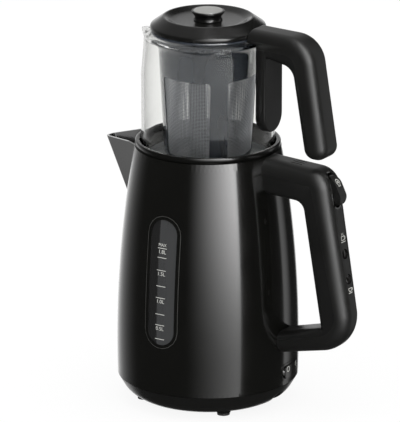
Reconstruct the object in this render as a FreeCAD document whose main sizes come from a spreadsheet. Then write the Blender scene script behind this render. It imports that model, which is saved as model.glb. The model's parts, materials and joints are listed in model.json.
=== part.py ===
import FreeCAD, Part
import math
import os
import re
import Sketcher

# Automatic tea maker: a cordless kettle on a swivelling base, with a glass teapot on top.
# +Z is up, the feet stand on z = 0, the axis of the base is the Z axis.
# The handles point to +X, the spouts to -X and the water level window to -Y.

doc = FreeCAD.newDocument("TeaMaker")
sheet = doc.addObject("Spreadsheet::Sheet", "Sizes")

driving_sizes = {
    # shared
    "overcut": 5,
    "soft_edge": 1,
    "hole_margin": 0.3,
    # power base
    "base_radius": 78.3,
    "base_top": 21.8,
    "foot_height": 2.2,
    "base_corner_inset": 11.3,
    "base_corner_round": 24,
    "case_wall": 2.2,
    "base_opening_inset": 27.5,
    "lid_gap": 0.3,
    "foot_radius": 5.5,
    "foot_ring_inset": 21.3,
    "foot_stem_radius": 2.9,
    "foot_pad_radius": 6.2,
    "cord_channel_width": 15,
    "cord_channel_top": 14,
    "cord_channel_length": 24.8,
    "cord_channel_round": 5,
    "cord_radius": 3.3,
    "gland_radius": 4,
    "gland_flange_radius": 5.2,
    "gland_height": 8.6,
    "plate_vent_start": 24,
    "plate_vent_end": 34,
    "plate_vent_width": 3,
    "plate_vents": 8,
    "connector_foot": 8,
    # coupling between base and kettle
    "connector_radius": 15,
    "connector_top": 35,
    "connector_flange_radius": 24,
    "running_clearance": 0.08,
    "sleeve_wall": 2,
    "sleeve_top": 30,
    "ring_inner_radius": 6,
    "ring_outer_radius": 10,
    "ring_width": 2,
    "ring_depth": 2,
    "pin_radius": 2,
    "pin_top": 38,
    "pin_headroom": 2,
    "pin_gap": 0.5,
    "socket_top": 37,
    "socket_gap": 0.4,
    # screws
    "screw_radius": 1.5,
    "screw_head_radius": 2.8,
    "screw_head_height": 1.6,
    "screw_length": 9,
    "screw_socket_radius": 1.2,
    "base_screws": 3,
    "cover_screws": 3,
    "feet": 4,
    "boss_radius": 4,
    "base_boss_inset": 10.8,
    "cover_boss_inset": 5.3,
    # kettle body
    "body_overhang": 0.2,
    "body_rim_radius": 63.2,
    "body_rim": 226,
    "body_bow": 1005,
    "plate_level": 44,
    "plate_thickness": 0.8,
    "seal_width": 3,
    "seal_height": 5,
    "seal_lip": 1.2,
    "control_radius": 22,
    "bimetal_radius": 6.35,
    "bimetal_offset": 13,
    "bimetal_thickness": 0.6,
    "element_inset": 34.5,
    "element_width": 8,
    "element_height": 7.7,
    "keep_warm_inset": 14,
    "keep_warm_width": 5,
    "keep_warm_height": 4.7,
    # water level window
    "window_rise": 20,
    "window_drop": 47,
    "window_width": 31,
    "window_frame_width": 2.5,
    "window_proud": 0.3,
    "window_sunk": 0.4,
    "window_lap": 1.6,
    # on and off switch
    "switch_angle": 7,
    "switch_height": 33.5,
    "switch_width": 34,
    "switch_tall": 15,
    "switch_round": 5,
    "switch_inset": 8.5,
    "switch_frame_width": 1.6,
    "switch_proud": 0.5,
    "switch_case_width": 20,
    "switch_case_height": 11,
    "switch_case_depth": 14,
    "switch_stem_width": 3,
    "rocker_gap": 0.6,
    "rocker_back": 3,
    "rocker_proud": 1.4,
    "rocker_crown_radius": 60,
    # kettle handle
    "handle_root": 50,
    "handle_top_out": 60.8,
    "handle_drop": 3.9,
    "handle_top_slope": 3.3,
    "handle_top_round": 19,
    "handle_flare": 26.7,
    "handle_foot_rise": 26.9,
    "handle_foot_slope": 12,
    "handle_foot_round": 33,
    "grip_top_depth": 22.6,
    "handle_top_arm": 29.2,
    "loop_top_round": 9,
    "grip_foot_depth": 31.7,
    "handle_foot_arm": 15.1,
    "loop_foot_slope": 14,
    "loop_foot_round": 2,
    "handle_top_width": 33.5,
    "handle_foot_width": 26,
    "handle_taper_below": 37.9,
    "handle_taper_above": 14.4,
    "handle_outer_round": 11.5,
    "handle_inner_round": 6.5,
    "handle_wall": 4.5,
    "handle_side_wall": 5,
    "handle_seam_depth": 13,
    "slot_out": 21.8,
    "slot_length": 11,
    "slot_width": 1.2,
    "slot_pitch": 4,
    "slots": 3,
    # keep warm and boil rocker at the top of the grip
    "mode_drop": 17.1,
    "mode_tilt": 17,
    "mode_half_width": 5.2,
    "mode_half_length": 13.4,
    "mode_side_gap": 0.5,
    "mode_end_gap": 1.9,
    "mode_frame_width": 1.2,
    "mode_back": 5,
    "mode_proud": 6.2,
    "mode_end_round": 3.4,
    "mode_end_sink": 0.5,
    "mode_recess_depth": 12.5,
    "mode_plunger_radius": 1.2,
    "mode_switch_depth": 9.5,
    "mode_switch_size": 8,
    # indicator lamps
    "lamp_drop": 6.35,
    "lamp_pitch": 21.9,
    "lamp_radius": 4.5,
    "lamp_sink": 0.3,
    "lamp_depth": 7,
    "lamp_gap": 0.05,
    "board_width": 16,
    "board_margin": 10,
    "board_thickness": 1.6,
    "loom_radius": 1.8,
    "loom_depth": 14,
    "loom_aside": 6.2,
    "loom_stop": 4,
    "grip_depth": 26.4,
    "handle_screw_above": 22.4,
    "handle_screw_below": 23.7,
    "handle_boss_radius": 3.6,
    "pin_socket_radius": 4.2,
    # kettle spout
    "spout_out": 49,
    "spout_drop": 9,
    "spout_half_width": 38,
    "spout_mouth_round": 8,
    "spout_keel_round": 0.2,
    "spout_keel_drop": 79,
    "spout_keel_sink": 6.4,
    "spout_keel_length": 3,
    "spout_keel_half": 0.5,
    "spout_root_inset": 15.8,
    "spout_rim_droop": 0.4,
    "spout_wall": 2,
    "spout_opening_width": 44,
    "spout_opening_tall": 36,
    "spout_opening_drop": 20,
    "spout_opening_round": 4,
    "spout_filter_border": 4,
    "spout_filter_thickness": 2,
    "mesh_thickness": 0.6,
    # steam lid
    "steam_rim_inset": 0.6,
    "steam_rim_width": 4,
    "steam_rim_height": 5.2,
    "steam_rim_round": 1.4,
    "steam_skirt_inset": 3,
    "steam_floor_drop": 13.7,
    "steam_seal_height": 4.5,
    "steam_seal_round": 0.2,
    "steam_slot_length": 14,
    "steam_slot_width": 3,
    "steam_slot_ring_radius": 33,
    "steam_slots": 6,
    # glass teapot
    "pot_side_gap": 1.1,
    "pot_floor_rise": 2.6,
    "pot_shoulder_drop": 35,
    "pot_top_inset": 2.8,
    "pot_tall": 111.1,
    "pot_wall": 2.5,
    "pot_mouth_inset": 9.3,
    "pot_neck_height": 3.5,
    "lip_out": 9.5,
    "lip_half_width": 15,
    "lip_drop": 5,
    "lip_height": 11,
    "lip_round": 3,
    "pot_shoulder_round": 80,
    "pot_rim_round": 3,
    "pot_corner_round": 7,
    # teapot handle
    "pot_handle_root": 45,
    "pot_handle_rise": 2,
    "pot_handle_out": 50,
    "pot_handle_over_rim": 9.4,
    "pot_handle_round": 26,
    "pot_handle_flare": 17.2,
    "pot_handle_tall": 104.4,
    "pot_handle_tip_round": 10,
    "pot_handle_depth": 22.5,
    "pot_grip_depth": 18.7,
    "pot_handle_inner_drop": 27.1,
    "pot_handle_inner_round": 12,
    "pot_handle_arm": 18.9,
    "pot_handle_width": 30,
    "pot_handle_edge_round": 9,
    "pot_handle_seam_depth": 15,
    "pot_handle_wall": 4.5,
    "tongue_out": 7.8,
    "tongue_drop": 79,
    "tongue_round": 1.5,
    "pad_thickness": 0.9,
    "pot_screw_drop": 43.4,
    "pot_screw_rise": 21,
    "pot_screw_seat": 19,
    "pad_inset": 4,
    "pad_tall": 36,
    "pad_width": 26,
    "pad_round": 4,
    # tea filter
    "filter_flange_lap": 1,
    "filter_flange_height": 2.4,
    "filter_collar_gap": 0.5,
    "filter_collar_height": 6,
    "filter_step": 4.8,
    "filter_taper": 5.5,
    "filter_floor_rise": 3.6,
    "filter_wall": 1.8,
    "filter_window_rise": 4.5,
    "filter_window_drop": 34.5,
    "filter_window_angle": 66,
    "filter_windows": 4,
    "filter_tab_width": 9,
    "filter_tab_drop": 5,
    "filter_tab_angle": 45,
    "filter_window_round": 3.5,
    "filter_foot_round": 2.5,
    # teapot lid and knob
    "lid_plug_depth": 4,
    "lid_lap": 0.4,
    "lid_edge_height": 3.2,
    "lid_slope_width": 11.6,
    "lid_crest_rise": 14.4,
    "lid_dish_depth": 4,
    "lid_wall": 2.4,
    "lid_crest_width": 8,
    "lid_dish_round": 12,
    "knob_top_radius": 14.1,
    "knob_tall": 8.8,
    "knob_neck_inset": 3.8,
    "knob_cap_inset": 1.5,
    "knob_cap_thickness": 1.2,
    "knob_foot_height": 2.5,
    "knob_neck_round": 3,
    "knob_edge_drop": 1.6,
    "knob_rim_drop": 0.2,
    "knob_screw_radius": 2,
}

# what follows from the values above: each piece keeps its place on the one that carries it
derived_sizes = {
    "base_corner_radius": "base_radius - base_corner_inset",
    "base_opening_radius": "base_radius - base_opening_inset",
    "base_boss_ring_radius": "base_opening_radius - base_boss_inset",
    "foot_ring_radius": "base_radius - foot_ring_inset",
    "cord_channel_start": "base_radius - cord_channel_length",
    "body_foot_radius": "base_radius + body_overhang",
    "cover_boss_ring_radius": "body_foot_radius - cover_boss_inset",
    "element_inner_radius": "body_foot_radius - element_inset",
    "keep_warm_inner_radius": "element_inner_radius - keep_warm_inset",
    "window_low": "plate_level + window_rise",
    "window_high": "body_rim - window_drop",
    "switch_depth": "body_foot_radius - switch_inset",
    "handle_top_reach": "body_rim_radius + handle_top_out",
    "handle_top_height": "body_rim - handle_drop",
    "handle_foot_reach": "handle_top_reach + handle_flare",
    "handle_foot_height": "switch_height + switch_tall / 2 + handle_foot_rise",
    "handle_low_level": "handle_foot_height - handle_taper_below",
    "handle_high_level": "handle_top_height + handle_taper_above",
    "handle_length": "handle_top_height - handle_foot_height",
    "loop_top_reach": "handle_top_reach - grip_top_depth",
    "loop_top_height": "handle_top_height - handle_top_arm",
    "loop_foot_reach": "handle_foot_reach - grip_foot_depth",
    "loop_foot_height": "handle_foot_height + handle_foot_arm",
    "slot_start": "body_rim_radius + slot_out",
    "mode_reach": "handle_top_reach + handle_flare * mode_drop / handle_length",
    "mode_height": "handle_top_height - mode_drop",
    "upper_lamp_height": "(handle_top_height + handle_foot_height + lamp_pitch) / 2 - lamp_drop",
    "handle_screw_upper": "upper_lamp_height + handle_screw_above",
    "lower_lamp_height": "upper_lamp_height - lamp_pitch",
    "handle_screw_lower": "lower_lamp_height - handle_screw_below",
    "spout_reach": "body_rim_radius + spout_out",
    "spout_tip_height": "body_rim - spout_drop",
    "spout_keel_height": "body_rim - spout_keel_drop",
    "spout_root": "body_rim_radius - spout_root_inset",
    "spout_opening_high": "body_rim - spout_opening_drop",
    "spout_opening_low": "spout_opening_high - spout_opening_tall",
    "steam_rim_radius": "body_rim_radius - steam_rim_inset",
    "steam_skirt_radius": "body_rim_radius - steam_skirt_inset",
    "steam_floor": "body_rim - steam_floor_drop",
    "pot_radius": "steam_rim_radius - steam_rim_width - pot_side_gap",
    "pot_bottom": "steam_floor + pot_floor_rise",
    "pot_top_radius": "pot_radius - pot_top_inset",
    "pot_rim": "pot_bottom + pot_tall",
    "pot_mouth_radius": "pot_radius - pot_mouth_inset",
    "pot_handle_reach": "pot_radius + pot_handle_out",
    "pot_handle_height": "pot_rim + pot_handle_over_rim",
    "pot_handle_tip_reach": "pot_handle_reach + pot_handle_flare",
    "pot_handle_tip": "pot_handle_height - pot_handle_tall",
    "pot_handle_inner_reach": "pot_handle_reach - pot_grip_depth",
    "pot_handle_inner_height": "pot_handle_height - pot_handle_inner_drop",
    "pot_handle_under_height": "pot_handle_height - pot_handle_arm",
    "pot_screw_upper": "pot_handle_height - pot_screw_drop",
    "pot_screw_lower": "pot_handle_tip + pot_screw_rise",
    "pot_shoulder": "pot_rim - pot_shoulder_drop",
    "pot_handle_root_height": "pot_handle_height + pot_handle_rise",
    "lip_reach": "pot_radius + lip_out",
    "tongue_reach": "pot_radius + tongue_out",
    "tongue_foot": "pot_rim - tongue_drop",
    "pad_foot": "tongue_foot + pad_inset",
    "pad_top": "pad_foot + pad_tall",
    "filter_flange_radius": "pot_mouth_radius + filter_flange_lap",
    "filter_collar_radius": "pot_mouth_radius - filter_collar_gap",
    "filter_top_radius": "filter_collar_radius - filter_step",
    "filter_bottom_radius": "filter_top_radius - filter_taper",
    "filter_bottom": "pot_bottom + filter_floor_rise",
    "filter_window_low": "filter_bottom + filter_window_rise",
    "filter_window_high": "pot_rim - filter_window_drop",
    "lid_radius": "filter_flange_radius + lid_lap",
    "lid_crest_radius": "lid_radius - lid_slope_width",
    "lid_crest_height": "pot_rim + lid_crest_rise",
    "lid_dish_height": "lid_crest_height - lid_dish_depth",
    "knob_top": "lid_dish_height + knob_tall",
    "knob_neck_radius": "knob_top_radius - knob_neck_inset",
    "knob_cap_radius": "knob_top_radius - knob_cap_inset",
}

sizes = dict(driving_sizes, **{alias: "=" + rule for alias, rule in derived_sizes.items()})
for row, (alias, value) in enumerate(sizes.items(), 1):
    sheet.set("A%d" % row, alias)
    sheet.set("B%d" % row, str(value))
    sheet.setAlias("B%d" % row, alias)
doc.recompute()

up = FreeCAD.Vector(0, 0, 1)


def link(expression):
    # the expression with the name of each size pointed at the sheet
    return re.sub(r"[a-z_]+", lambda word: "Sizes." + word[0] if word[0] in sizes else word[0],
                  str(expression))


def size(expression):
    return float(sheet.evalExpression(link(expression)))


def bind(item, **expressions):
    # sets each property of the item to an expression on the sheet; Base__x stands for Base.x
    for name, expression in expressions.items():
        item.setExpression(name.replace("__", "."), link(expression))
    return item


def pin_point(sketch, geometry, position, across, height):
    for kind, axis, expression in (("DistanceX", -2, across), ("DistanceY", -1, height)):
        if str(expression) == "0":
            sketch.addConstraint(Sketcher.Constraint("PointOnObject", geometry, position, axis))
        else:
            index = sketch.addConstraint(
                Sketcher.Constraint(kind, -1, 1, geometry, position, size(expression)))
            sketch.setExpression("Constraints[%d]" % index, link(expression))


def pin_radius(sketch, geometry, expression):
    index = sketch.addConstraint(Sketcher.Constraint("Radius", geometry, size(expression)))
    sketch.setExpression("Constraints[%d]" % index, link(expression))


def flat(point):
    return FreeCAD.Vector(point[0], point[1], 0)


def circle_arc(centre, first, last, turns_left):
    # the arc between two points that runs the way the outline turns
    if not turns_left:
        first, last = last, first
    angles = [math.atan2(point.y - centre.y, point.x - centre.x) for point in (first, last)]
    circle = Part.Circle(centre, FreeCAD.Vector(0, 0, 1), (first - centre).Length)
    return Part.ArcOfCircle(circle, angles[0], angles[1])


def draw_outline(sketch, corners):
    # Closed outline through its corners, each (across, height) or (across, height, rounding).
    # A rounding "bow RADIUS" bends the side that leaves the corner instead, to the left of its way.
    points = [flat((size(corner[0]), size(corner[1]))) for corner in corners]
    marks = [str(corner[2]) if len(corner) > 2 else "" for corner in corners]
    count = len(corners)
    starts = list(points)
    ends = list(points)
    arcs = {}
    for here in range(count):
        if not marks[here] or marks[here].startswith("bow"):
            continue
        to_last = (points[here - 1] - points[here]).normalize()
        to_next = (points[(here + 1) % count] - points[here]).normalize()
        half = to_last.getAngle(to_next) / 2
        radius = size(marks[here])
        starts[here] = points[here] + to_last * (radius / math.tan(half))
        ends[here] = points[here] + to_next * (radius / math.tan(half))
        centre = points[here] + (to_last + to_next).normalize() * (radius / math.sin(half))
        turns_left = to_next.cross(to_last).z > 0
        arcs[here] = (circle_arc(centre, starts[here], ends[here], turns_left), turns_left)
    tails = []
    heads = []
    for here in range(count):
        first, last = ends[here], starts[(here + 1) % count]
        if marks[here].startswith("bow"):
            radius = size(marks[here][4:])
            middle = (first + last) * 0.5
            along = last - first
            left = FreeCAD.Vector(-along.y, along.x, 0).normalize()
            reach = math.sqrt(radius ** 2 - along.Length ** 2 / 4)
            sketch.addGeometry(circle_arc(middle + left * reach, first, last, True))
            pin_radius(sketch, here, marks[here][4:])
        else:
            sketch.addGeometry(Part.LineSegment(first, last))
        tails.append((here, 1))
        heads.append((here, 2))
    for here in range(count):
        before = heads[here - 1]
        after = tails[here]
        if here not in arcs:
            sketch.addConstraint(Sketcher.Constraint("Coincident", *before, *after))
            pin_point(sketch, *after, corners[here][0], corners[here][1])
            continue
        arc, turns_left = arcs[here]
        number = sketch.addGeometry(arc)
        first, last = (1, 2) if turns_left else (2, 1)
        sketch.addConstraint(Sketcher.Constraint("Tangent", *before, number, first))
        sketch.addConstraint(Sketcher.Constraint("Tangent", *after, number, last))
        pin_radius(sketch, number, marks[here])
        vertex = sketch.addGeometry(Part.Point(points[here]), True)
        sketch.addConstraint(Sketcher.Constraint("PointOnObject", vertex, 1, before[0]))
        sketch.addConstraint(Sketcher.Constraint("PointOnObject", vertex, 1, after[0]))
        pin_point(sketch, vertex, 1, corners[here][0], corners[here][1])


planes = {
    "XY_Plane": FreeCAD.Rotation(),
    "XZ_Plane": FreeCAD.Rotation(FreeCAD.Vector(1, 0, 0), 90),
    "YZ_Plane": FreeCAD.Rotation(FreeCAD.Vector(1, 1, 1), 120),
}


def body_sketch(body, name, plane, offset="0"):
    sketch = body.newObject("Sketcher::SketchObject", name)
    support = [item for item in body.Origin.OriginFeatures if item.Role == plane][0]
    sketch.AttachmentSupport = (support, [""])
    sketch.MapMode = "FlatFace"
    if offset != "0":
        sketch.setExpression("AttachmentOffset.Base.z", link(offset))
    return sketch


def turned(name, corners):
    # a body turned about the Z axis from an outline of (radius, height) corners
    body = doc.addObject("PartDesign::Body", name + "_body")
    sketch = body_sketch(body, name + "_outline", "XZ_Plane")
    draw_outline(sketch, corners)
    revolution = body.newObject("PartDesign::Revolution", name + "_turn")
    revolution.Profile = sketch
    revolution.ReferenceAxis = (sketch, ["V_Axis"])
    revolution.Angle = 360
    body.Tip = revolution
    doc.recompute()
    return body


def cut_pattern(body, name, draw, bottom, top, count="1"):
    # pockets through the body between two heights, repeated about the Z axis
    before = body.Shape.Volume
    sketch = body_sketch(body, name + "_outline", "XY_Plane", bottom)
    draw(sketch)
    pocket = body.newObject("PartDesign::Pocket", name)
    pocket.Profile = sketch
    pocket.Reversed = True
    pocket.Length = size("(%s) - (%s)" % (top, bottom))
    pocket.setExpression("Length", link("(%s) - (%s)" % (top, bottom)))
    repeat(body, pocket, sketch, count)
    if body.Shape.Volume >= before:
        raise ValueError(name + " cuts nothing")
    return body


def add_pattern(body, name, draw, bottom, top, count="1"):
    # pads on the body between two heights, repeated about the Z axis
    sketch = body_sketch(body, name + "_outline", "XY_Plane", bottom)
    draw(sketch)
    pad = body.newObject("PartDesign::Pad", name)
    pad.Profile = sketch
    pad.setExpression("Length", link("(%s) - (%s)" % (top, bottom)))
    return repeat(body, pad, sketch, count)


def repeat(body, feature, sketch, count):
    body.Tip = feature
    doc.recompute()
    if size(count) > 1:
        pattern = body.newObject("PartDesign::PolarPattern", feature.Name + "_round")
        pattern.Originals = [feature]
        pattern.Axis = (sketch, ["N_Axis"])
        pattern.Angle = 360
        pattern.Occurrences = int(size(count))
        pattern.setExpression("Occurrences", link(count))
        body.Tip = pattern
        doc.recompute()
    return body


def ring(across, height, radius):
    # draws one circle
    def draw(sketch):
        centre = flat((size(across), size(height)))
        number = sketch.addGeometry(Part.Circle(centre, FreeCAD.Vector(0, 0, 1), size(radius)))
        pin_radius(sketch, number, radius)
        pin_point(sketch, number, 3, across, height)
    return draw


def outline(*corners):
    return lambda sketch: draw_outline(sketch, corners)


def rectangle(left, right, low, high, rounding=None):
    corners = [(left, low), (right, low), (right, high), (left, high)]
    return [corner + (rounding,) for corner in corners] if rounding else corners


def centred(half_width, half_height, rounding=None):
    return rectangle("-(%s)" % half_width, half_width, "-(%s)" % half_height, half_height, rounding)


def racetrack(half_width, low, high):
    # the flats between the round ends keep a trace of width, so that no side vanishes
    return rectangle("-(%s)" % half_width, half_width, low, high, "(%s) * 0.999" % half_width)


def prism(name, plane, corners, start, finish):
    # an outline pushed along the normal of its plane, between two distances from the origin
    sketch = doc.addObject("Sketcher::SketchObject", name + "_outline")
    turn = planes[plane]
    normal = turn.multVec(FreeCAD.Vector(0, 0, 1))
    draw_outline(sketch, corners)
    sketch.Placement = FreeCAD.Placement(FreeCAD.Vector(), turn)
    solid = doc.addObject("Part::Extrusion", name)
    solid.Base = sketch
    solid.DirMode = "Custom"
    solid.Dir = normal
    solid.Solid = True
    solid.setExpression("LengthFwd", link(finish))
    solid.setExpression("LengthRev", link("-(%s)" % start))
    doc.recompute()
    return solid


def cylinder(name, radius, bottom, top, across="0", aside="0"):
    solid = doc.addObject("Part::Cylinder", name)
    bind(solid, Radius=radius, Height="(%s) - (%s)" % (top, bottom), Placement__Base__x=across,
         Placement__Base__y=aside, Placement__Base__z=bottom)
    doc.recompute()
    return solid


def x_cylinder(name, radius, start, finish, height="0"):
    # a cylinder along the X axis, kept inside a holder that can be placed as a whole
    solid = doc.addObject("Part::Cylinder", name + "_round")
    solid.Placement = FreeCAD.Placement(FreeCAD.Vector(), FreeCAD.Rotation(FreeCAD.Vector(0, 1, 0), 90))
    bind(solid, Radius=radius, Height="(%s) - (%s)" % (finish, start), Placement__Base__x=start,
         Placement__Base__z=height)
    holder = doc.addObject("Part::Refine", name)
    holder.Source = solid
    doc.recompute()
    return holder


def x_tube(name, radius, bore, start, finish, height):
    return cut(name + "_tube", x_cylinder(name + "_outside", radius, start, finish, height),
               x_cylinder(name + "_bore", bore, start, finish, height))


def combine(kind, name, first, second):
    result = doc.addObject("Part::" + kind, name)
    result.Base = first
    result.Tool = second
    doc.recompute()
    return result


def cut(name, first, *tools):
    for number, tool in enumerate(tools, 1):
        first = combine("Cut", name if number == len(tools) else "%s_cut_%d" % (name, number), first, tool)
    return first


def common(name, first, second):
    return combine("Common", name, first, second)


def fuse(name, *solids):
    result = doc.addObject("Part::MultiFuse", name)
    result.Shapes = list(solids)
    result.Refine = True
    doc.recompute()
    return result


nodes = []


def node(name, solid):
    # gives a finished piece its label, which names its file
    solid.Label = name
    nodes.append(solid)
    return solid


def compound(name, *items):
    group = doc.addObject("Part::Compound", name)
    group.Links = list(items)
    doc.recompute()
    return group


def empty_body(name):
    body = doc.addObject("PartDesign::Body", name + "_body")
    body.AllowCompound = True
    return body


def screws(name, ring_radius, head_bottom, count):
    # a ring of pan head screws, heads down, with a hexagon socket in each head
    body = empty_body(name)
    neck = "(%s) + screw_head_height" % head_bottom
    add_pattern(body, name + "_head", ring(ring_radius, "0", "screw_head_radius"), head_bottom, neck, count)
    add_pattern(body, name + "_shank", ring(ring_radius, "0", "screw_radius"), neck,
                "%s + screw_length" % neck, count)
    cut_pattern(body, name + "_socket", ring(ring_radius, "0", "screw_socket_radius"), head_bottom,
                "(%s) + screw_head_height / 2" % head_bottom, count)
    return node(name, body)


# Power base

def make_base():
    envelope = turned("base_envelope", [
        ("0", "foot_height"), ("base_corner_radius", "foot_height", "base_corner_round"),
        ("base_radius", "base_top"), ("0", "base_top")])
    shell = turned("base_shell", [
        ("base_opening_radius", "foot_height"),
        ("base_corner_radius", "foot_height", "base_corner_round"),
        ("base_radius", "base_top"),
        ("connector_radius + lid_gap", "base_top"),
        ("connector_radius + lid_gap", "base_top - case_wall"),
        ("base_radius - case_wall", "base_top - case_wall"),
        ("base_corner_radius - case_wall", "foot_height + case_wall", "base_corner_round - case_wall"),
        ("base_opening_radius", "foot_height + case_wall")])
    add_pattern(shell, "base_bosses", ring("base_boss_ring_radius", "0", "boss_radius"),
                "foot_height + case_wall", "base_top - case_wall", "base_screws")
    cut_pattern(shell, "base_boss_bores", ring("base_boss_ring_radius", "0", "screw_radius"),
                "foot_height + case_wall",
                "foot_height + screw_head_height + screw_length + case_wall", "base_screws")
    pads = empty_body("foot_pads")
    foot_x = "foot_ring_radius * cos(45)"
    add_pattern(pads, "foot_pad", ring(foot_x, foot_x, "foot_pad_radius"), "foot_height",
                "foot_height + 2 * case_wall", "feet")
    block = prism("channel_block", "YZ_Plane", channel_corners("case_wall"),
                  "cord_channel_start - case_wall", "base_radius")
    housing = common("channel_housing", block, envelope)
    channel = prism("cord_channel", "YZ_Plane", channel_corners("0"), "cord_channel_start",
                    "base_radius + overcut")
    gland_hole = x_cylinder("gland_hole", "gland_radius", "cord_channel_start - 2 * case_wall",
                            "cord_channel_start + case_wall / 2", "gland_height")
    stems = empty_body("foot_stem_holes")
    add_pattern(stems, "foot_stem_hole", ring(foot_x, foot_x, "foot_stem_radius"), "foot_height - overcut",
                "foot_height + 3 * case_wall", "feet")
    padded = fuse("base_shell_padded", shell, pads, housing)
    node("base_shell", cut("base_shell_done", padded, channel, gland_hole, stems))

    plate = turned("base_bottom_plate", [
        ("0", "foot_height"), ("base_opening_radius - lid_gap", "foot_height"),
        ("base_opening_radius - lid_gap", "foot_height + case_wall"), ("0", "foot_height + case_wall")])
    cut_pattern(plate, "plate_screw_holes", ring("base_boss_ring_radius", "0", "screw_radius"),
                "foot_height", "foot_height + case_wall", "base_screws")
    cut_pattern(plate, "plate_countersinks", ring("base_boss_ring_radius", "0", "screw_head_radius"),
                "foot_height", "foot_height + screw_head_height", "base_screws")
    cut_pattern(plate, "plate_vents", outline(*rectangle(
        "plate_vent_start", "plate_vent_end", "-plate_vent_width / 2", "plate_vent_width / 2")),
        "foot_height", "foot_height + case_wall", "plate_vents")
    node("base_bottom_plate", plate)
    screws("base_screws", "base_boss_ring_radius", "foot_height", "base_screws")

    feet = empty_body("base_feet")
    add_pattern(feet, "foot_disc", ring(foot_x, foot_x, "foot_radius"), "0", "foot_height", "feet")
    add_pattern(feet, "foot_stem", ring(foot_x, foot_x, "foot_stem_radius"), "foot_height",
                "foot_height + 2 * case_wall", "feet")
    node("base_feet", feet)

    gland = x_tube("cord_inlet_gland", "gland_radius", "cord_radius",
                   "cord_channel_start - 2 * case_wall", "cord_channel_start", "gland_height")
    flange = x_tube("gland_flange", "gland_flange_radius", "cord_radius",
                    "cord_channel_start", "cord_channel_start + case_wall", "gland_height")
    node("cord_inlet_gland", fuse("cord_inlet_gland_done", gland, flange))


def channel_corners(wall):
    side = "cord_channel_width / 2 + %s" % wall
    top = "cord_channel_top + %s" % wall
    bend = "cord_channel_round + %s" % wall
    return [("-(%s)" % side, "0"), (side, "0"), (side, top, bend), ("-(%s)" % side, top, bend)]


def make_coupling():
    ring_in = "ring_inner_radius"
    ring_out = "ring_outer_radius"
    floor = "connector_top - ring_depth"
    node("base_connector", turned("base_connector", [
        ("pin_radius", "connector_foot"), ("connector_radius - case_wall", "connector_foot"),
        ("connector_radius - case_wall", "base_top - 3 * case_wall"),
        ("connector_flange_radius", "base_top - 3 * case_wall"),
        ("connector_flange_radius", "base_top - case_wall"),
        ("connector_radius", "base_top - case_wall"), ("connector_radius", "connector_top", "1"),
        (ring_out + " + ring_width", "connector_top"), (ring_out + " + ring_width", floor),
        (ring_out, floor), (ring_out, "connector_top"),
        (ring_in + " + ring_width", "connector_top"), (ring_in + " + ring_width", floor),
        (ring_in, floor), (ring_in, "connector_top"), ("pin_radius", "connector_top")]))
    rings = []
    for name, inner in (("inner_ring", ring_in), ("outer_ring", ring_out)):
        rings.append(turned(name, [
            (inner, floor), (inner + " + ring_width", floor),
            (inner + " + ring_width", "connector_top + lid_gap"), (inner, "connector_top + lid_gap")]))
    node("base_contact_rings", compound("base_contact_rings_set", *rings))
    node("base_contact_pin", turned("base_contact_pin", [
        ("0", "connector_foot"), ("pin_radius", "connector_foot"), ("pin_radius", "pin_top", "1"),
        ("0", "pin_top")]))
    bore = "connector_radius + running_clearance"
    node("connector_sleeve", turned("connector_sleeve", [
        (bore, "base_top + lid_gap"), (bore + " + 2 * sleeve_wall", "base_top + lid_gap"),
        (bore + " + 2 * sleeve_wall", "base_top + lid_gap + sleeve_wall / 2"),
        (bore + " + sleeve_wall", "base_top + lid_gap + sleeve_wall / 2"),
        (bore + " + sleeve_wall", "sleeve_top", "0.8"), (bore, "sleeve_top")]))


# Kettle

body_foot = "base_top + lid_gap"


def body_outline(inset, foot, rim):
    # the bowed side of the kettle, moved inwards by an inset and run between two levels
    return [("0", foot), ("body_foot_radius - (%s)" % inset, foot, "bow body_bow - (%s)" % inset),
            ("body_rim_radius - (%s)" % inset, rim), ("0", rim)]


def body_solid(name, inset):
    return turned(name, body_outline(inset, body_foot, "body_rim"))


def body_skin(name, outside, inside):
    # the layer of the kettle's side between two insets
    return cut(name, body_solid(name + "_outside", outside), body_solid(name + "_inside", inside))


def spout_beak(name, inset, top):
    # the V-shaped beak, lofted from its mouth to the foot of its keel
    reach = "-(spout_reach - (%s) / cos(60))" % inset
    half = "spout_half_width - (%s)" % inset
    keel = "-(body_foot_radius - spout_keel_sink - (%s))" % inset
    keel_back = keel + " + spout_keel_length"
    mouth = [(reach, "0", "spout_mouth_round - (%s)" % inset),
             ("-spout_root", "-(%s)" % half), ("-spout_root", half)]
    foot = [(keel, "0", "spout_keel_round"), (keel_back, "-spout_keel_half"), (keel_back, "spout_keel_half")]
    body = doc.addObject("PartDesign::Body", name + "_body")
    sections = []
    for part, corners, level in (("mouth", mouth, top), ("foot", foot, "spout_keel_height + (%s)" % inset)):
        sketch = body_sketch(body, name + "_" + part, "XY_Plane", level)
        draw_outline(sketch, corners)
        sections.append(sketch)
    loft = body.newObject("PartDesign::AdditiveLoft", name)
    loft.Profile = sections[0]
    loft.Sections = [sections[1]]
    loft.Ruled = True
    body.Tip = loft
    doc.recompute()
    return body


def spun(item, angle):
    # turns an item about the Z axis, on top of the way it already lies
    turn = FreeCAD.Rotation(up, float(angle))
    item.Placement = FreeCAD.Placement(turn.multVec(item.Placement.Base), turn * item.Placement.Rotation)
    doc.recompute()
    return item


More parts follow.
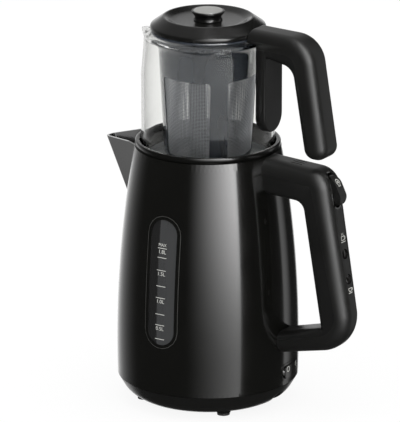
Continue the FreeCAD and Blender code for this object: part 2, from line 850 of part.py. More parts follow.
def make_kettle_body():
    outside = body_solid("kettle_outside", "0")
    inside = turned("kettle_inside", body_outline("case_wall", body_foot + " - overcut",
                                                  "body_rim + overcut"))
    beak = spout_beak("spout_outside", "0", "body_rim")
    hollow = spout_beak("spout_inside", "spout_wall", "body_rim + 0.01")
    rim_cut = prism("spout_rim_cut", "XZ_Plane", [
        ("-spout_reach - overcut", "spout_tip_height - spout_rim_droop"), ("-body_rim_radius", "body_rim"),
        ("-body_rim_radius", "body_rim + overcut"), ("-spout_reach - overcut", "body_rim + overcut")],
        "-spout_half_width - overcut", "spout_half_width + overcut")
    beak_shell = cut("spout_shell", beak, hollow, outside)
    opening = prism("spout_opening", "YZ_Plane", spout_window("0"), "-body_foot_radius", "0")
    pour_cut = common("pour_cut", opening, hollow)
    walls = cut("kettle_walls", outside, inside)
    bosses = empty_body("cover_bosses")
    add_pattern(bosses, "cover_boss", ring("cover_boss_ring_radius", "0", "boss_radius"),
                body_foot + " + case_wall", "plate_level - seal_height", "cover_screws")
    bosses_in_body = common("cover_bosses_trimmed", spun(bosses, 60), outside)
    bores = empty_body("cover_bores")
    add_pattern(bores, "cover_bore", ring("cover_boss_ring_radius", "0", "screw_radius"),
                body_foot, "plate_level - seal_height - case_wall", "cover_screws")
    window = prism("window_opening", "XZ_Plane", racetrack("window_width / 2", "window_low", "window_high"),
                   "0", "body_foot_radius + overcut")
    body = fuse("kettle_joined", walls, beak_shell, bosses_in_body)
    switch_hole = switch_prism("switch_opening", "0")
    node("kettle_body_shell", cut("kettle_body_done", body, rim_cut, pour_cut, window, switch_hole,
                                  spun(bores, 60)))


def spout_window(margin):
    # outline of the opening from the kettle into its spout, let out by a margin
    half = "spout_opening_width / 2 + (%s)" % margin
    return rectangle("-(%s)" % half, half, "spout_opening_low - (%s)" % margin,
                     "spout_opening_high + (%s)" % margin, "spout_opening_round + (%s) / 4" % margin)


def switch_prism(name, inset, start="switch_depth"):
    # an oval block through the kettle's side, below the foot of the handle
    half = "switch_width / 2 - (%s)" % inset
    corners = rectangle("-(%s)" % half, half, "switch_height - switch_tall / 2 + (%s)" % inset,
                        "switch_height + switch_tall / 2 - (%s)" % inset, "switch_round")
    block = prism(name, "YZ_Plane", corners, start, "body_foot_radius + overcut")
    return spun(block, size("switch_angle"))


def make_window():
    full = racetrack("window_width / 2", "window_low", "window_high")
    narrow = racetrack("window_width / 2 - window_frame_width", "window_low + window_frame_width",
                       "window_high - window_frame_width")
    depth = ("0", "body_foot_radius + overcut")
    frame_skin = body_skin("frame_skin", "-window_proud", "case_wall + window_lap / 2")
    frame = cut("frame_prism", prism("frame_outside", "XZ_Plane", full, *depth),
                prism("frame_inside", "XZ_Plane", narrow, *depth))
    node("window_bezel", common("window_bezel_done", frame, frame_skin))
    pane_skin = body_skin("pane_skin", "window_sunk", "case_wall + window_lap")
    node("level_window", common("level_window_done", prism("pane_prism", "XZ_Plane", narrow, *depth),
                                pane_skin))


def make_heater():
    inside = body_solid("heater_room", "case_wall")
    plate_radius = "body_foot_radius - case_wall - seal_width"
    lip = plate_radius + " - 2 * seal_lip"
    under = "plate_level - plate_thickness"
    node("heating_plate", turned("heating_plate", [
        ("0", under), (plate_radius, under), (plate_radius, "plate_level"), ("0", "plate_level")]))
    gasket = turned("seal_ring", [
        (plate_radius, "plate_level - seal_height"), ("body_foot_radius", "plate_level - seal_height"),
        ("body_foot_radius", "plate_level + seal_lip"), (lip, "plate_level + seal_lip", "seal_lip * 0.6"),
        (lip, "plate_level"), (plate_radius, "plate_level")])
    node("plate_seal", common("plate_seal_done", gasket, inside))
    for name, inner, wide, tall in (
            ("heating_element", "element_inner_radius", "element_width", "element_height"),
            ("keep_warm_element", "keep_warm_inner_radius", "keep_warm_width", "keep_warm_height")):
        low = "%s - %s" % (under, tall)
        bend = "%s * 0.45" % wide
        node(name, turned(name, [
            (inner, low, bend), ("%s + %s" % (inner, wide), low, bend),
            ("%s + %s" % (inner, wide), under), (inner, under)]))
    socket = "connector_radius + running_clearance + 2 * sleeve_wall + socket_gap"
    control_top = under + " - lid_gap"
    control_foot = body_foot + " + case_wall"
    pin_roof = "pin_top + pin_headroom"
    control = turned("control_unit", [
        (socket, control_foot), ("control_radius", control_foot), ("control_radius", control_top),
        ("0", control_top), ("0", pin_roof), ("pin_socket_radius", pin_roof),
        ("pin_socket_radius", "socket_top"), (socket, "socket_top", "soft_edge")])
    cut_pattern(control, "bimetal_seats", ring("bimetal_offset", "0", "bimetal_radius + lid_gap"),
                control_top + " - 2 * bimetal_thickness", control_top, "2")
    node("control_unit", control)
    discs = empty_body("bimetal_discs")
    add_pattern(discs, "bimetal_disc", ring("bimetal_offset", "0", "bimetal_radius"),
                control_top + " - 2 * bimetal_thickness", control_top + " - bimetal_thickness", "2")
    node("bimetal_discs", discs)
    tube = turned("pin_contact", [
        ("pin_radius + pin_gap", "socket_top - soft_edge"), ("pin_socket_radius", "socket_top - soft_edge"),
        ("pin_socket_radius", pin_roof), ("pin_radius + pin_gap", pin_roof)])
    leaves = empty_body("contact_leaves")
    for name, inner in (("inner_leaf", "ring_inner_radius"), ("outer_leaf", "ring_outer_radius")):
        add_pattern(leaves, name, ring(inner + " + ring_width / 2", "0", "ring_width / 2"),
                    "connector_top + 2 * lid_gap", "socket_top", "1")
    node("socket_contacts", compound("socket_contacts_set", tube, leaves))
    cover = turned("cover_disc", [
        (socket, body_foot), ("body_foot_radius", body_foot),
        ("body_foot_radius", body_foot + " + case_wall"), (socket, body_foot + " + case_wall")])
    cut_pattern(cover, "cover_holes", ring("cover_boss_ring_radius * cos(60)",
                                           "cover_boss_ring_radius * sin(60)", "screw_radius"),
                body_foot, body_foot + " + case_wall", "cover_screws")
    cut_pattern(cover, "cover_seats", ring("cover_boss_ring_radius * cos(60)",
                                           "cover_boss_ring_radius * sin(60)", "screw_head_radius"),
                body_foot, body_foot + " + screw_head_height", "cover_screws")
    node("kettle_bottom_cover", common("kettle_bottom_cover_done", cover, inside))
    spun(screws("cover_screws", "cover_boss_ring_radius", body_foot, "cover_screws"), 60)


def make_spout_filter():
    outer = spout_window("spout_filter_border")
    inner = spout_window("0")
    depth = ("-body_foot_radius", "0")
    frame = cut("spout_frame_prism", prism("spout_frame_outside", "YZ_Plane", outer, *depth),
                prism("spout_frame_inside", "YZ_Plane", inner, *depth))
    skin = body_skin("spout_frame_skin", "case_wall", "case_wall + spout_filter_thickness")
    node("spout_filter_frame", common("spout_filter_frame_done", frame, skin))
    middle = "case_wall + spout_filter_thickness / 2"
    mesh_skin = body_skin("spout_mesh_skin", middle, middle + " + mesh_thickness")
    node("spout_filter_mesh", common("spout_filter_mesh_done",
                                     prism("spout_mesh_prism", "YZ_Plane", inner, *depth), mesh_skin))


def make_power_switch():
    # the on and off rocker with its frame and the switch behind it
    frame = cut("switch_frame_ring", switch_prism("switch_frame_outside", "0"),
                switch_prism("switch_frame_inside", "switch_frame_width"))
    node("power_switch_bezel", common("power_switch_bezel_done", frame,
                                      body_skin("switch_frame_skin", "-switch_proud", "case_wall - lid_gap")))
    block = switch_prism("rocker_prism", "switch_frame_width + rocker_gap", "switch_depth + rocker_back")
    outside = cylinder("rocker_crown", "rocker_crown_radius", "switch_height - switch_tall",
                       "switch_height + switch_tall",
                       "body_foot_radius + switch_proud + rocker_proud - rocker_crown_radius")
    node("power_rocker", common("power_rocker_done", block, spun(outside, size("switch_angle"))))
    half = "switch_case_width / 2"
    case = prism("power_switch_case", "YZ_Plane", rectangle(
        "-" + half, half, "switch_height - switch_case_height / 2", "switch_height + switch_case_height / 2",
        "soft_edge"), "switch_depth - switch_case_depth", "switch_depth")
    stem = prism("power_switch_stem", "YZ_Plane", rectangle(
        "-switch_stem_width / 2", "switch_stem_width / 2", "switch_height - switch_case_height / 3",
        "switch_height + switch_case_height / 3"), "switch_depth", "switch_depth + rocker_back - lid_gap")
    node("power_switch_body", spun(fuse("power_switch_joined", case, stem), size("switch_angle")))


def tilted(item, tilt, across, height):
    # turns an item made about the origin so that its X axis points outwards and up by the tilt
    turn = FreeCAD.Rotation(FreeCAD.Vector(0, 1, 0), -size(tilt))
    item.Placement = FreeCAD.Placement(FreeCAD.Vector(), turn * item.Placement.Rotation)
    bind(item, Placement__Base__x=across, Placement__Base__z=height)
    doc.recompute()
    return item


grip_lean = "atan((handle_foot_reach - handle_top_reach) / (handle_top_height - handle_foot_height))"


def grip_reach(height):
    # how far out the outer face of the grip lies at a height
    return ("handle_top_reach + (handle_foot_reach - handle_top_reach)"
            " * (handle_top_height - (%s)) / (handle_top_height - handle_foot_height)" % height)


def on_grip(item, height):
    # sets an item square to the outer face of the grip
    return tilted(item, grip_lean, grip_reach(height), height)


def handle_outer_corners(inset):
    top = "handle_top_height - (%s)" % inset
    foot = "handle_foot_height + (%s)" % inset
    return [
        ("handle_root", "%s - (handle_foot_reach - handle_root) * tan(handle_foot_slope)" % foot),
        ("handle_foot_reach - (%s)" % inset, foot, "handle_foot_round - (%s)" % inset),
        ("handle_top_reach - (%s)" % inset, top, "handle_top_round - (%s)" % inset),
        ("handle_root", "%s + (handle_top_reach - handle_root) * tan(handle_top_slope)" % top)]


def handle_loop_corners(inset):
    top = "loop_top_height + (%s)" % inset
    foot = "loop_foot_height - (%s)" % inset
    return [
        ("handle_root", "%s - (loop_foot_reach - handle_root) * tan(loop_foot_slope)" % foot),
        ("loop_foot_reach + (%s)" % inset, foot, "loop_foot_round + (%s)" % inset),
        ("loop_top_reach + (%s)" % inset, top, "loop_top_round + (%s)" % inset),
        ("handle_root", "%s + (loop_top_reach - handle_root) * tan(handle_top_slope)" % top)]


def rounded(name, solid, choose):
    # rounds every edge for which choose gives a radius
    result = doc.addObject("Part::Fillet", name)
    result.Base = solid
    picked = []
    for number, edge in enumerate(solid.Shape.Edges, 1):
        middle = edge.valueAt((edge.FirstParameter + edge.LastParameter) / 2)
        radius = choose(edge, middle)
        if radius:
            picked.append((number, radius, radius))
    result.Edges = picked
    doc.recompute()
    return result


def handle_block(name, inset, side_inset):
    # the closed loop of the handle in side view, with its sides tapered towards the foot
    wide = ("-handle_top_width", "handle_top_width")
    loop = cut(name + "_loop",
               prism(name + "_outside", "XZ_Plane", handle_outer_corners(inset), *wide),
               prism(name + "_inside", "XZ_Plane", handle_loop_corners(inset), *wide))
    low = "handle_foot_width / 2 - (%s)" % side_inset
    high = "handle_top_width / 2 - (%s)" % side_inset
    front = prism(name + "_front", "YZ_Plane", [
        ("-(%s)" % low, "handle_low_level"), (low, "handle_low_level"),
        (high, "handle_high_level"), ("-(%s)" % high, "handle_high_level")],
        "handle_root - overcut", "handle_foot_reach + overcut")
    return common(name, loop, front)


lamps = (("upper_lamp", "upper_lamp_height"), ("lower_lamp", "lower_lamp_height"))
handle_screw_heights = (("upper", "handle_screw_upper"), ("lower", "handle_screw_lower"))


def make_handle():
    block = handle_block("handle_block", "0", "0")
    loop_faces = doc.getObject("handle_block_inside").Shape
    side = size("handle_foot_width / 4")

    def choose(edge, middle):
        if abs(middle.y) < side or middle.x < size("handle_root") + 0.1:
            return 0
        on_loop = loop_faces.distToShape(Part.Vertex(middle))[0] < 0.01
        return size("handle_inner_round") if on_loop else size("handle_outer_round")

    smooth = rounded("handle_smooth", block, choose)
    cavity = handle_block("handle_cavity", "handle_wall", "handle_side_wall")
    bosses = []
    bores = []
    for name, height in handle_screw_heights:
        boss = x_cylinder(name + "_handle_boss", "handle_boss_radius", "-handle_top_width", "0")
        bosses.append(on_grip(boss, height))
        bore = x_cylinder(name + "_handle_bore", "screw_radius", "-handle_top_width", "-handle_wall / 2")
        bores.append(on_grip(bore, height))
    posts = common("handle_posts", fuse("handle_post_set", *bosses), smooth)
    hollow = fuse("handle_hollow", cut("handle_shell", smooth, cavity), posts)
    body_room = fuse("handle_body_room", body_solid("handle_body_side", "0"),
                     cylinder("handle_rim_room", "body_rim_radius + lid_gap", "body_rim - overcut",
                              "body_rim + 2 * overcut"))
    seam = prism("handle_seam", "XZ_Plane", handle_outer_corners("handle_seam_depth"),
                 "-handle_top_width", "handle_top_width")
    open_handle = cut("handle_open", hollow, body_room, *bores)
    recess = mode_prism("mode_recess", "mode_frame_width", "-mode_recess_depth", "handle_wall * 4")
    lamp_holes = [lamp(name + "_hole", height, "-2 * lamp_depth", "overcut", "lamp_radius + lamp_gap")
                  for name, height in lamps]
    slots = [prism("vent_slot_%d" % number, "XY_Plane", slot_corners(number),
                   "loop_top_height + 2 * handle_wall", "handle_high_level")
             for number in range(int(size("slots")))]
    outer = cut("handle_outer", open_handle, seam, recess, *lamp_holes, *slots)
    node("handle_outer_shell", outer)
    heads = [on_grip(x_cylinder(name + "_head_room", "screw_head_radius + hole_margin", "-handle_top_width",
                                "-grip_depth + screw_head_height"), height)
             for name, height in handle_screw_heights]
    node("handle_inner_cover", cut("handle_inner", common("handle_inside_part", open_handle, seam), *heads))
    screw_set = []
    for name, height in handle_screw_heights:
        head = x_cylinder(name + "_screw_head", "screw_head_radius", "-grip_depth",
                          "-grip_depth + screw_head_height")
        shank = x_cylinder(name + "_screw_shank", "screw_radius", "-grip_depth + screw_head_height",
                           "-handle_wall / 2 - soft_edge")
        screw_set.append(on_grip(fuse(name + "_handle_screw", head, shank), height))
    node("handle_screws", compound("handle_screws_set", *screw_set))
    make_mode_switch(smooth)
    make_lamps(smooth)
    make_loom()


def slot_corners(number):
    middle = "(%d - (slots - 1) / 2) * slot_pitch" % number
    return rectangle("slot_start", "slot_start + slot_length", middle + " - slot_width / 2",
                     middle + " + slot_width / 2")


def mode_prism(name, margin, start, finish):
    # an oval block along the outward direction of the mode rocker
    half = "mode_half_width + mode_side_gap + (%s)" % margin
    long = "mode_half_length + mode_end_gap + (%s)" % margin
    return tilted(prism(name, "YZ_Plane", racetrack(half, "-(%s)" % long, long), start, finish),
                  "mode_tilt", "mode_reach", "mode_height")


def make_mode_switch(handle):
    far = "handle_wall * 4"
    ring_block = cut("mode_frame_block",
                     mode_prism("mode_frame_outside", "mode_frame_width", "-mode_back", far),
                     mode_prism("mode_frame_inside", "0", "-mode_back - overcut", far))
    node("mode_rocker_bezel", common("mode_rocker_bezel_done", ring_block, handle))
    profile = prism("mode_profile", "XZ_Plane", [
        ("-mode_back", "-mode_half_length"),
        ("mode_proud / 2", "-mode_half_length", "mode_end_round"),
        ("mode_proud", "-mode_half_length / 2", "mode_end_round * 2"),
        ("mode_proud * 2 / 3", "mode_half_length / 2", "mode_end_round * 3"),
        ("-mode_end_sink", "mode_half_length", "mode_end_round / 2"),
        ("-mode_back", "mode_half_length")], "-mode_half_width", "mode_half_width")
    plan = prism("mode_plan", "YZ_Plane",
                 racetrack("mode_half_width", "-mode_half_length", "mode_half_length"),
                 "-mode_back", "mode_proud + overcut")
    rocker = common("mode_rocker_block", profile, plan)
    node("mode_rocker", tilted(rocker, "mode_tilt", "mode_reach", "mode_height"))
    half = "mode_switch_size / 2"
    case = prism("mode_switch_case", "YZ_Plane", centred(half, half),
                 "-mode_switch_depth - mode_switch_size", "-mode_switch_depth")
    plunger = x_cylinder("mode_switch_plunger", "mode_plunger_radius", "-mode_switch_depth",
                         "-mode_back - lid_gap")
    node("mode_switch_body", tilted(fuse("mode_switch_joined", case, plunger), "mode_tilt", "mode_reach",
                                    "mode_height"))


def lamp(name, height, start, finish, radius):
    return on_grip(x_cylinder(name, radius, start, finish), height)


def make_lamps(handle):
    lenses = [common(name + "_lens", lamp(name + "_pipe", height, "-lamp_depth", "-lamp_sink", "lamp_radius"),
                     handle) for name, height in lamps]
    node("indicator_lenses", compound("indicator_lenses_set", *lenses))
    half_long = "(upper_lamp_height - lower_lamp_height) / 2 + board_margin"
    middle = "(upper_lamp_height + lower_lamp_height) / 2"
    board = prism("board_block", "YZ_Plane", centred("board_width / 2", half_long),
                  "-lamp_depth - board_thickness", "-lamp_depth")
    node("led_board", on_grip(board, middle))


def make_loom():
    # the wires from the mode switch down the grip and along the lower arm, as one round tube
    def in_grip(height):
        return loom_point(size(grip_reach(height)) - size("loom_depth"), size(height))

    def loom_point(reach, height):
        return FreeCAD.Vector(reach, size("loom_aside"), height)

    arm = size("(handle_foot_height + loop_foot_height) / 2") - size("soft_edge")
    end = size("body_foot_radius + loom_stop")
    end_height = size("handle_foot_height + 2 * handle_wall - (handle_foot_reach - body_foot_radius"
                      " - loom_stop) * tan(handle_foot_slope)")
    path = smooth_path([in_grip("mode_height - mode_switch_size"),
                        in_grip("handle_foot_height + handle_foot_round"),
                        loom_point(size("loop_foot_reach + handle_wall + loom_radius"), arm),
                        loom_point(end, end_height)])
    start = path.OrderedVertexes[0].Point
    circle = Part.Wire(Part.makeCircle(size("loom_radius"), start, path.OrderedEdges[0].tangentAt(0)))
    loom = doc.addObject("Part::Feature", "wiring_loom_tube")
    loom.Shape = path.makePipeShell([circle], True, False)
    loom.Placement = FreeCAD.Placement()
    node("wiring_loom", loom)


def smooth_path(points):
    # straight runs joined by tangent arcs, each as large as its two runs allow
    edges = []
    here = points[0]
    for last, corner, following in zip(points, points[1:], points[2:]):
        back = last - corner
        ahead = following - corner
        turn = math.pi - back.getAngle(ahead)
        reach = 0.45 * min(back.Length, ahead.Length)
        radius = reach / math.tan(turn / 2)
        first = corner + back.normalize() * reach
        end = corner + ahead.normalize() * reach
        bisector = (back + ahead).normalize()
        centre = corner + bisector * math.hypot(reach, radius)
        middle = centre - bisector * radius
        edges.append(Part.LineSegment(here, first).toShape())
        edges.append(Part.Arc(first, middle, end).toShape())
        here = end
    edges.append(Part.LineSegment(here, points[-1]).toShape())
    return Part.Wire(edges)


# Steam lid that closes the kettle's mouth and carries the teapot

def make_steam_lid():
    rim_foot = "body_rim + lid_gap"
    rim_top = rim_foot + " + steam_rim_height"
    inner = "steam_rim_radius - steam_rim_width"
    lid = turned("steam_lid", [
        ("0", "steam_floor"), ("steam_skirt_radius", "steam_floor", "1"),
        ("steam_skirt_radius", rim_foot), ("steam_rim_radius", rim_foot),
        ("steam_rim_radius", rim_top, "steam_rim_round"), (inner, rim_top, "steam_rim_round"),
        (inner, "pot_bottom - lid_gap"), ("0", "pot_bottom - lid_gap")])
    cut_pattern(lid, "steam_slots_cut", outline(*rectangle(
        "steam_slot_ring_radius - steam_slot_length / 2", "steam_slot_ring_radius + steam_slot_length / 2",
        "-steam_slot_width / 2", "steam_slot_width / 2", "steam_slot_width * 0.45")),
        "steam_floor", "pot_bottom - lid_gap", "steam_slots")
    node("steam_lid", lid)
    seal_top = rim_foot + " - soft_edge"
    seal_foot = seal_top + " - steam_seal_height"
    seal_edge = "body_rim_radius - case_wall - lid_gap"
    node("steam_lid_seal", turned("steam_lid_seal", [
        ("steam_skirt_radius", seal_foot), (seal_edge, seal_foot, "steam_seal_round"),
        (seal_edge, seal_top, "steam_seal_round"), ("steam_skirt_radius", seal_top)]))


# Teapot

def pot_outline(gap):
    # the outside of the glass, let out by a gap
    return [("0", "pot_bottom - (%s)" % gap),
            ("pot_radius + (%s)" % gap, "pot_bottom - (%s)" % gap, "pot_corner_round + (%s)" % gap),
            ("pot_radius + (%s)" % gap, "pot_shoulder", "pot_shoulder_round"),
            ("pot_top_radius + (%s)" % gap, "pot_rim + (%s)" % gap, "pot_rim_round + (%s)" % gap)]


def make_teapot():
    neck_foot = "pot_rim - pot_neck_height - soft_edge"
    shell = turned("pot_shell", pot_outline("0") + [
        ("pot_mouth_radius", "pot_rim", "soft_edge"),
        ("pot_mouth_radius", "pot_rim - pot_neck_height", "soft_edge"),
        ("pot_top_radius - pot_wall", neck_foot, "pot_wall"),
        ("pot_radius - pot_wall", "pot_shoulder", "pot_shoulder_round - pot_wall"),
        ("pot_radius - pot_wall", "pot_bottom + pot_wall", "pot_corner_round - pot_wall"),
        ("0", "pot_bottom + pot_wall")])
    room = turned("pot_room", pot_outline("lid_gap") + [("0", "pot_rim + lid_gap")])
    inside = turned("pot_inside", [
        ("0", "pot_shoulder"), ("pot_radius - pot_wall", "pot_shoulder"),
        ("pot_top_radius - pot_wall", neck_foot), ("0", neck_foot)])
    lip_top = "pot_rim - lip_drop"
    lip_foot = "pot_rim - lip_height"
    neck_level = "pot_rim - pot_neck_height + pot_wall / 5"
    wide = ("-lip_half_width - overcut", "lip_half_width + overcut")
    lip_side = prism("lip_side", "XZ_Plane", [
        ("-pot_mouth_radius", lip_foot), ("-pot_top_radius", lip_foot),
        ("-lip_reach", lip_top + " - 1.2 * pot_wall"), ("-lip_reach", lip_top),
        ("-pot_mouth_radius", lip_top)], *wide)
    lip = common("lip_block", prism("lip_plan", "XY_Plane", lip_plan("0", "lip_reach"), lip_foot, lip_top),
                 lip_side)
    groove_start = "-pot_mouth_radius + pot_wall"
    groove_side = prism("groove_side", "XZ_Plane", [
        (groove_start, neck_level), ("-pot_top_radius", neck_level),
        ("-lip_reach", lip_top + " - pot_wall / 5"), ("-lip_reach", "pot_rim + overcut"),
        (groove_start, "pot_rim + overcut")], *wide)
    groove = common("lip_groove", prism("groove_plan", "XY_Plane",
                                        lip_plan("pot_wall", "lip_reach - 1.4 * pot_wall"), lip_foot,
                                        "pot_rim + soft_edge"), groove_side)
    glass = fuse("pot_with_lip", shell, cut("lip_outside", lip, inside))
    node("teapot_glass", cut("teapot_glass_done", glass, groove))
    make_teapot_handle(room)


def lip_plan(inset, reach):
    # the pouring lip seen from above, a point with a round tip
    root = "-pot_mouth_radius + (%s)" % inset
    half = "lip_half_width - (%s)" % inset
    return [(root, "-(%s)" % half), (root, half), ("-pot_top_radius", half),
            ("-(%s)" % reach, "0.1", "lip_round"), ("-pot_top_radius", "-(%s)" % half)]


def pot_handle_corners(inset):
    # side view of the handle: along the top, down the grip, round its tip and back under the arm
    tip_inner = "pot_handle_tip_reach - pot_handle_depth"
    return [("pot_handle_root", "pot_handle_root_height - (%s)" % inset),
            ("pot_handle_root", "pot_handle_under_height + (%s)" % inset),
            ("pot_handle_inner_reach + (%s)" % inset, "pot_handle_inner_height + (%s)" % inset,
             "pot_handle_inner_round + (%s)" % inset),
            (tip_inner + " + (%s)" % inset, "pot_handle_tip + (%s)" % inset,
             "pot_handle_tip_round - (%s)" % inset),
            ("pot_handle_tip_reach - (%s)" % inset, "pot_handle_tip + (%s)" % inset,
             "pot_handle_tip_round - (%s)" % inset),
            ("pot_handle_reach - (%s)" % inset, "pot_handle_height - (%s)" % inset,
             "pot_handle_round - (%s)" % inset)]


def make_teapot_handle(glass_room):
    half = "pot_handle_width / 2"
    block = prism("pot_handle_block", "XZ_Plane", pot_handle_corners("0"), "-" + half, half)
    edge_level = size("pot_handle_width") / 2 - 0.01

    def choose(edge, middle):
        if abs(middle.y) < edge_level or middle.x < size("pot_handle_root") + 0.1:
            return 0
        return size("pot_handle_edge_round")

    smooth = rounded("pot_handle_smooth", block, choose)
    tongue_top = "pot_handle_under_height + pot_handle_wall"
    tongue_block = prism("tongue_block", "YZ_Plane", [
        ("-" + half, "tongue_foot", "(%s) * 0.999" % half), (half, "tongue_foot", "(%s) * 0.999" % half),
        (half, tongue_top), ("-" + half, tongue_top)], "pot_handle_root", "tongue_reach")

    def choose_tongue(edge, middle):
        outside = middle.x > size("tongue_reach") - 0.01
        return size("tongue_round") if outside and middle.z < size("pot_handle_under_height") else 0

    tongue = rounded("tongue_smooth", tongue_block, choose_tongue)
    tongue_room = cylinder("tongue_room", "pot_radius + pad_thickness", "tongue_foot - overcut", "pot_rim")
    lid_room = cylinder("lid_room", "lid_radius + lid_gap * 2", "pot_rim - overcut",
                        "pot_handle_root_height + overcut")
    cavity = prism("pot_handle_cavity", "XZ_Plane", pot_handle_corners("pot_handle_wall"),
                   "-(%s - pot_handle_wall)" % half, half + " - pot_handle_wall")
    bosses = []
    bores = []
    heads = []
    screw_set = []
    for name, height in (("upper", "pot_screw_upper"), ("lower", "pot_screw_lower")):
        boss = x_cylinder(name + "_pot_boss", "handle_boss_radius", "-pot_handle_depth", "0")
        bosses.append(on_pot_grip(boss, height))
        bore = x_cylinder(name + "_pot_bore", "screw_radius", "-pot_handle_depth - overcut",
                          "-pot_handle_wall / 2")
        bores.append(on_pot_grip(bore, height))
        room = x_cylinder(name + "_pot_head_room", "screw_head_radius + hole_margin",
                          "-pot_handle_depth - overcut", "-pot_screw_seat + screw_head_height")
        heads.append(on_pot_grip(room, height))
        head = x_cylinder(name + "_pot_screw_head", "screw_head_radius", "-pot_screw_seat",
                          "-pot_screw_seat + screw_head_height")
        shank = x_cylinder(name + "_pot_screw_shank", "screw_radius", "-pot_screw_seat + screw_head_height",
                           "-pot_handle_wall / 2 - soft_edge")
        screw_set.append(on_pot_grip(fuse(name + "_pot_screw", head, shank), height))
    posts = common("pot_handle_posts", fuse("pot_post_set", *bosses), smooth)
    hollow = fuse("pot_handle_hollow", cut("pot_handle_walls", smooth, cavity), posts)
    whole = fuse("pot_handle_joined", hollow, tongue)
    opened = cut("pot_handle_open", whole, glass_room, tongue_room, lid_room, *bores)
    seam = prism("pot_handle_seam", "XZ_Plane", [
        ("pot_handle_root - overcut", "pot_handle_root_height - pot_handle_seam_depth"),
        ("pot_handle_root - overcut", "pot_handle_tip - overcut"),
        ("pot_handle_tip_reach - pot_handle_seam_depth", "pot_handle_tip - overcut"),
        ("pot_handle_tip_reach - pot_handle_seam_depth", "pot_handle_tip"),
        ("pot_handle_reach - pot_handle_seam_depth", "pot_handle_height - pot_handle_seam_depth",
         "pot_handle_round - pot_handle_seam_depth")], "-pot_handle_width", "pot_handle_width")
    node("teapot_handle_shell", cut("pot_handle_outer", opened, seam))
    node("teapot_handle_cover", cut("pot_handle_inner", common("pot_handle_inside", opened, seam), *heads))
    node("teapot_handle_screws", compound("teapot_handle_screws_set", *screw_set))
    pad_block = prism("pad_block", "YZ_Plane", rectangle(
        "-pad_width / 2", "pad_width / 2", "pad_foot", "pad_top", "pad_round"), "pad_round",
        "pot_radius + overcut")
    pad_ring = turned("pad_ring", rectangle("pot_radius", "pot_radius + pad_thickness - lid_gap / 2",
                                            "pad_foot - overcut", "pad_top + overcut"))
    node("handle_bonding_pad", common("handle_bonding_pad_done", pad_block, pad_ring))


pot_lean = "atan((pot_handle_tip_reach - pot_handle_reach) / (pot_handle_height - pot_handle_tip))"


def pot_reach(height):
    # how far out the outer face of the teapot's grip lies at a height
    return ("pot_handle_reach + (pot_handle_tip_reach - pot_handle_reach)"
            " * (pot_handle_height - (%s)) / (pot_handle_height - pot_handle_tip)" % height)


def on_pot_grip(item, height):
    # sets an item square to the outer face of the teapot's grip
    return tilted(item, pot_lean, pot_reach(height), height)


# Tea filter

def make_filter():
    flange_foot = "pot_rim + lid_gap"
    flange_top = flange_foot + " + filter_flange_height"
    collar_foot = "pot_rim - filter_collar_height"
    wall = "filter_wall"
    basket = turned("filter_basket", [
        ("0", "filter_bottom"), ("filter_bottom_radius", "filter_bottom", "filter_foot_round"),
        ("filter_top_radius", collar_foot), ("filter_collar_radius", collar_foot, "soft_edge"),
        ("filter_collar_radius", flange_foot), ("filter_flange_radius", flange_foot),
        ("filter_flange_radius", flange_top, "soft_edge"),
        ("filter_collar_radius - %s" % wall, flange_top),
        ("filter_collar_radius - %s" % wall, collar_foot + " + " + wall),
        ("filter_top_radius - %s" % wall, collar_foot + " + " + wall),
        ("filter_bottom_radius - %s" % wall, "filter_bottom + " + wall, "soft_edge"),
        ("0", "filter_bottom + " + wall)])
    low_half = "filter_bottom_radius * sin(filter_window_angle / 2)"
    high_half = "filter_top_radius * sin(filter_window_angle / 2)"
    openings = []
    for number in range(int(size("filter_windows"))):
        block = prism("filter_window_%d" % number, "YZ_Plane", [
            ("-" + low_half, "filter_window_low", "filter_window_round"),
            (low_half, "filter_window_low", "filter_window_round"),
            (high_half, "filter_window_high", "filter_window_round"),
            ("-" + high_half, "filter_window_high", "filter_window_round")],
            "filter_bottom_radius / 3", "filter_collar_radius + overcut")
        openings.append(spun(block, number * 360 / size("filter_windows")))
    windows = fuse("filter_windows_set", *openings)
    tab_foot = collar_foot + " - filter_tab_drop"
    tabs = []
    for number in (0, 1):
        block = prism("filter_tab_block_%d" % number, "YZ_Plane", rectangle(
            "-filter_tab_width / 2", "filter_tab_width / 2", tab_foot, collar_foot + " + filter_wall / 2"),
            "filter_top_radius - filter_wall", "filter_collar_radius + overcut")
        room = cut("filter_tab_room_%d" % number,
                   cylinder("filter_tab_reach_%d" % number, "filter_collar_radius", tab_foot, flange_foot),
                   cylinder("filter_tab_core_%d" % number, "filter_top_radius - filter_wall / 2", tab_foot,
                            flange_foot))
        turn = 180 * number - size("filter_tab_angle")
        tabs.append(common("filter_tab_%d" % number, spun(block, turn), room))
    node("filter_basket", cut("filter_basket_done", fuse("filter_basket_tabs", basket, *tabs), windows))
    middle = "%s / 2 - mesh_thickness / 2" % wall
    cone = []
    for name, inset in (("mesh_outside", middle), ("mesh_inside", middle + " + mesh_thickness")):
        cone.append(turned(name, [
            ("0", "filter_bottom"), ("filter_bottom_radius - (%s)" % inset, "filter_bottom"),
            ("filter_top_radius - (%s)" % inset, collar_foot), ("0", collar_foot)]))
    node("filter_mesh", common("filter_mesh_done", windows, cut("mesh_cone", *cone)))


# Teapot lid and its knob

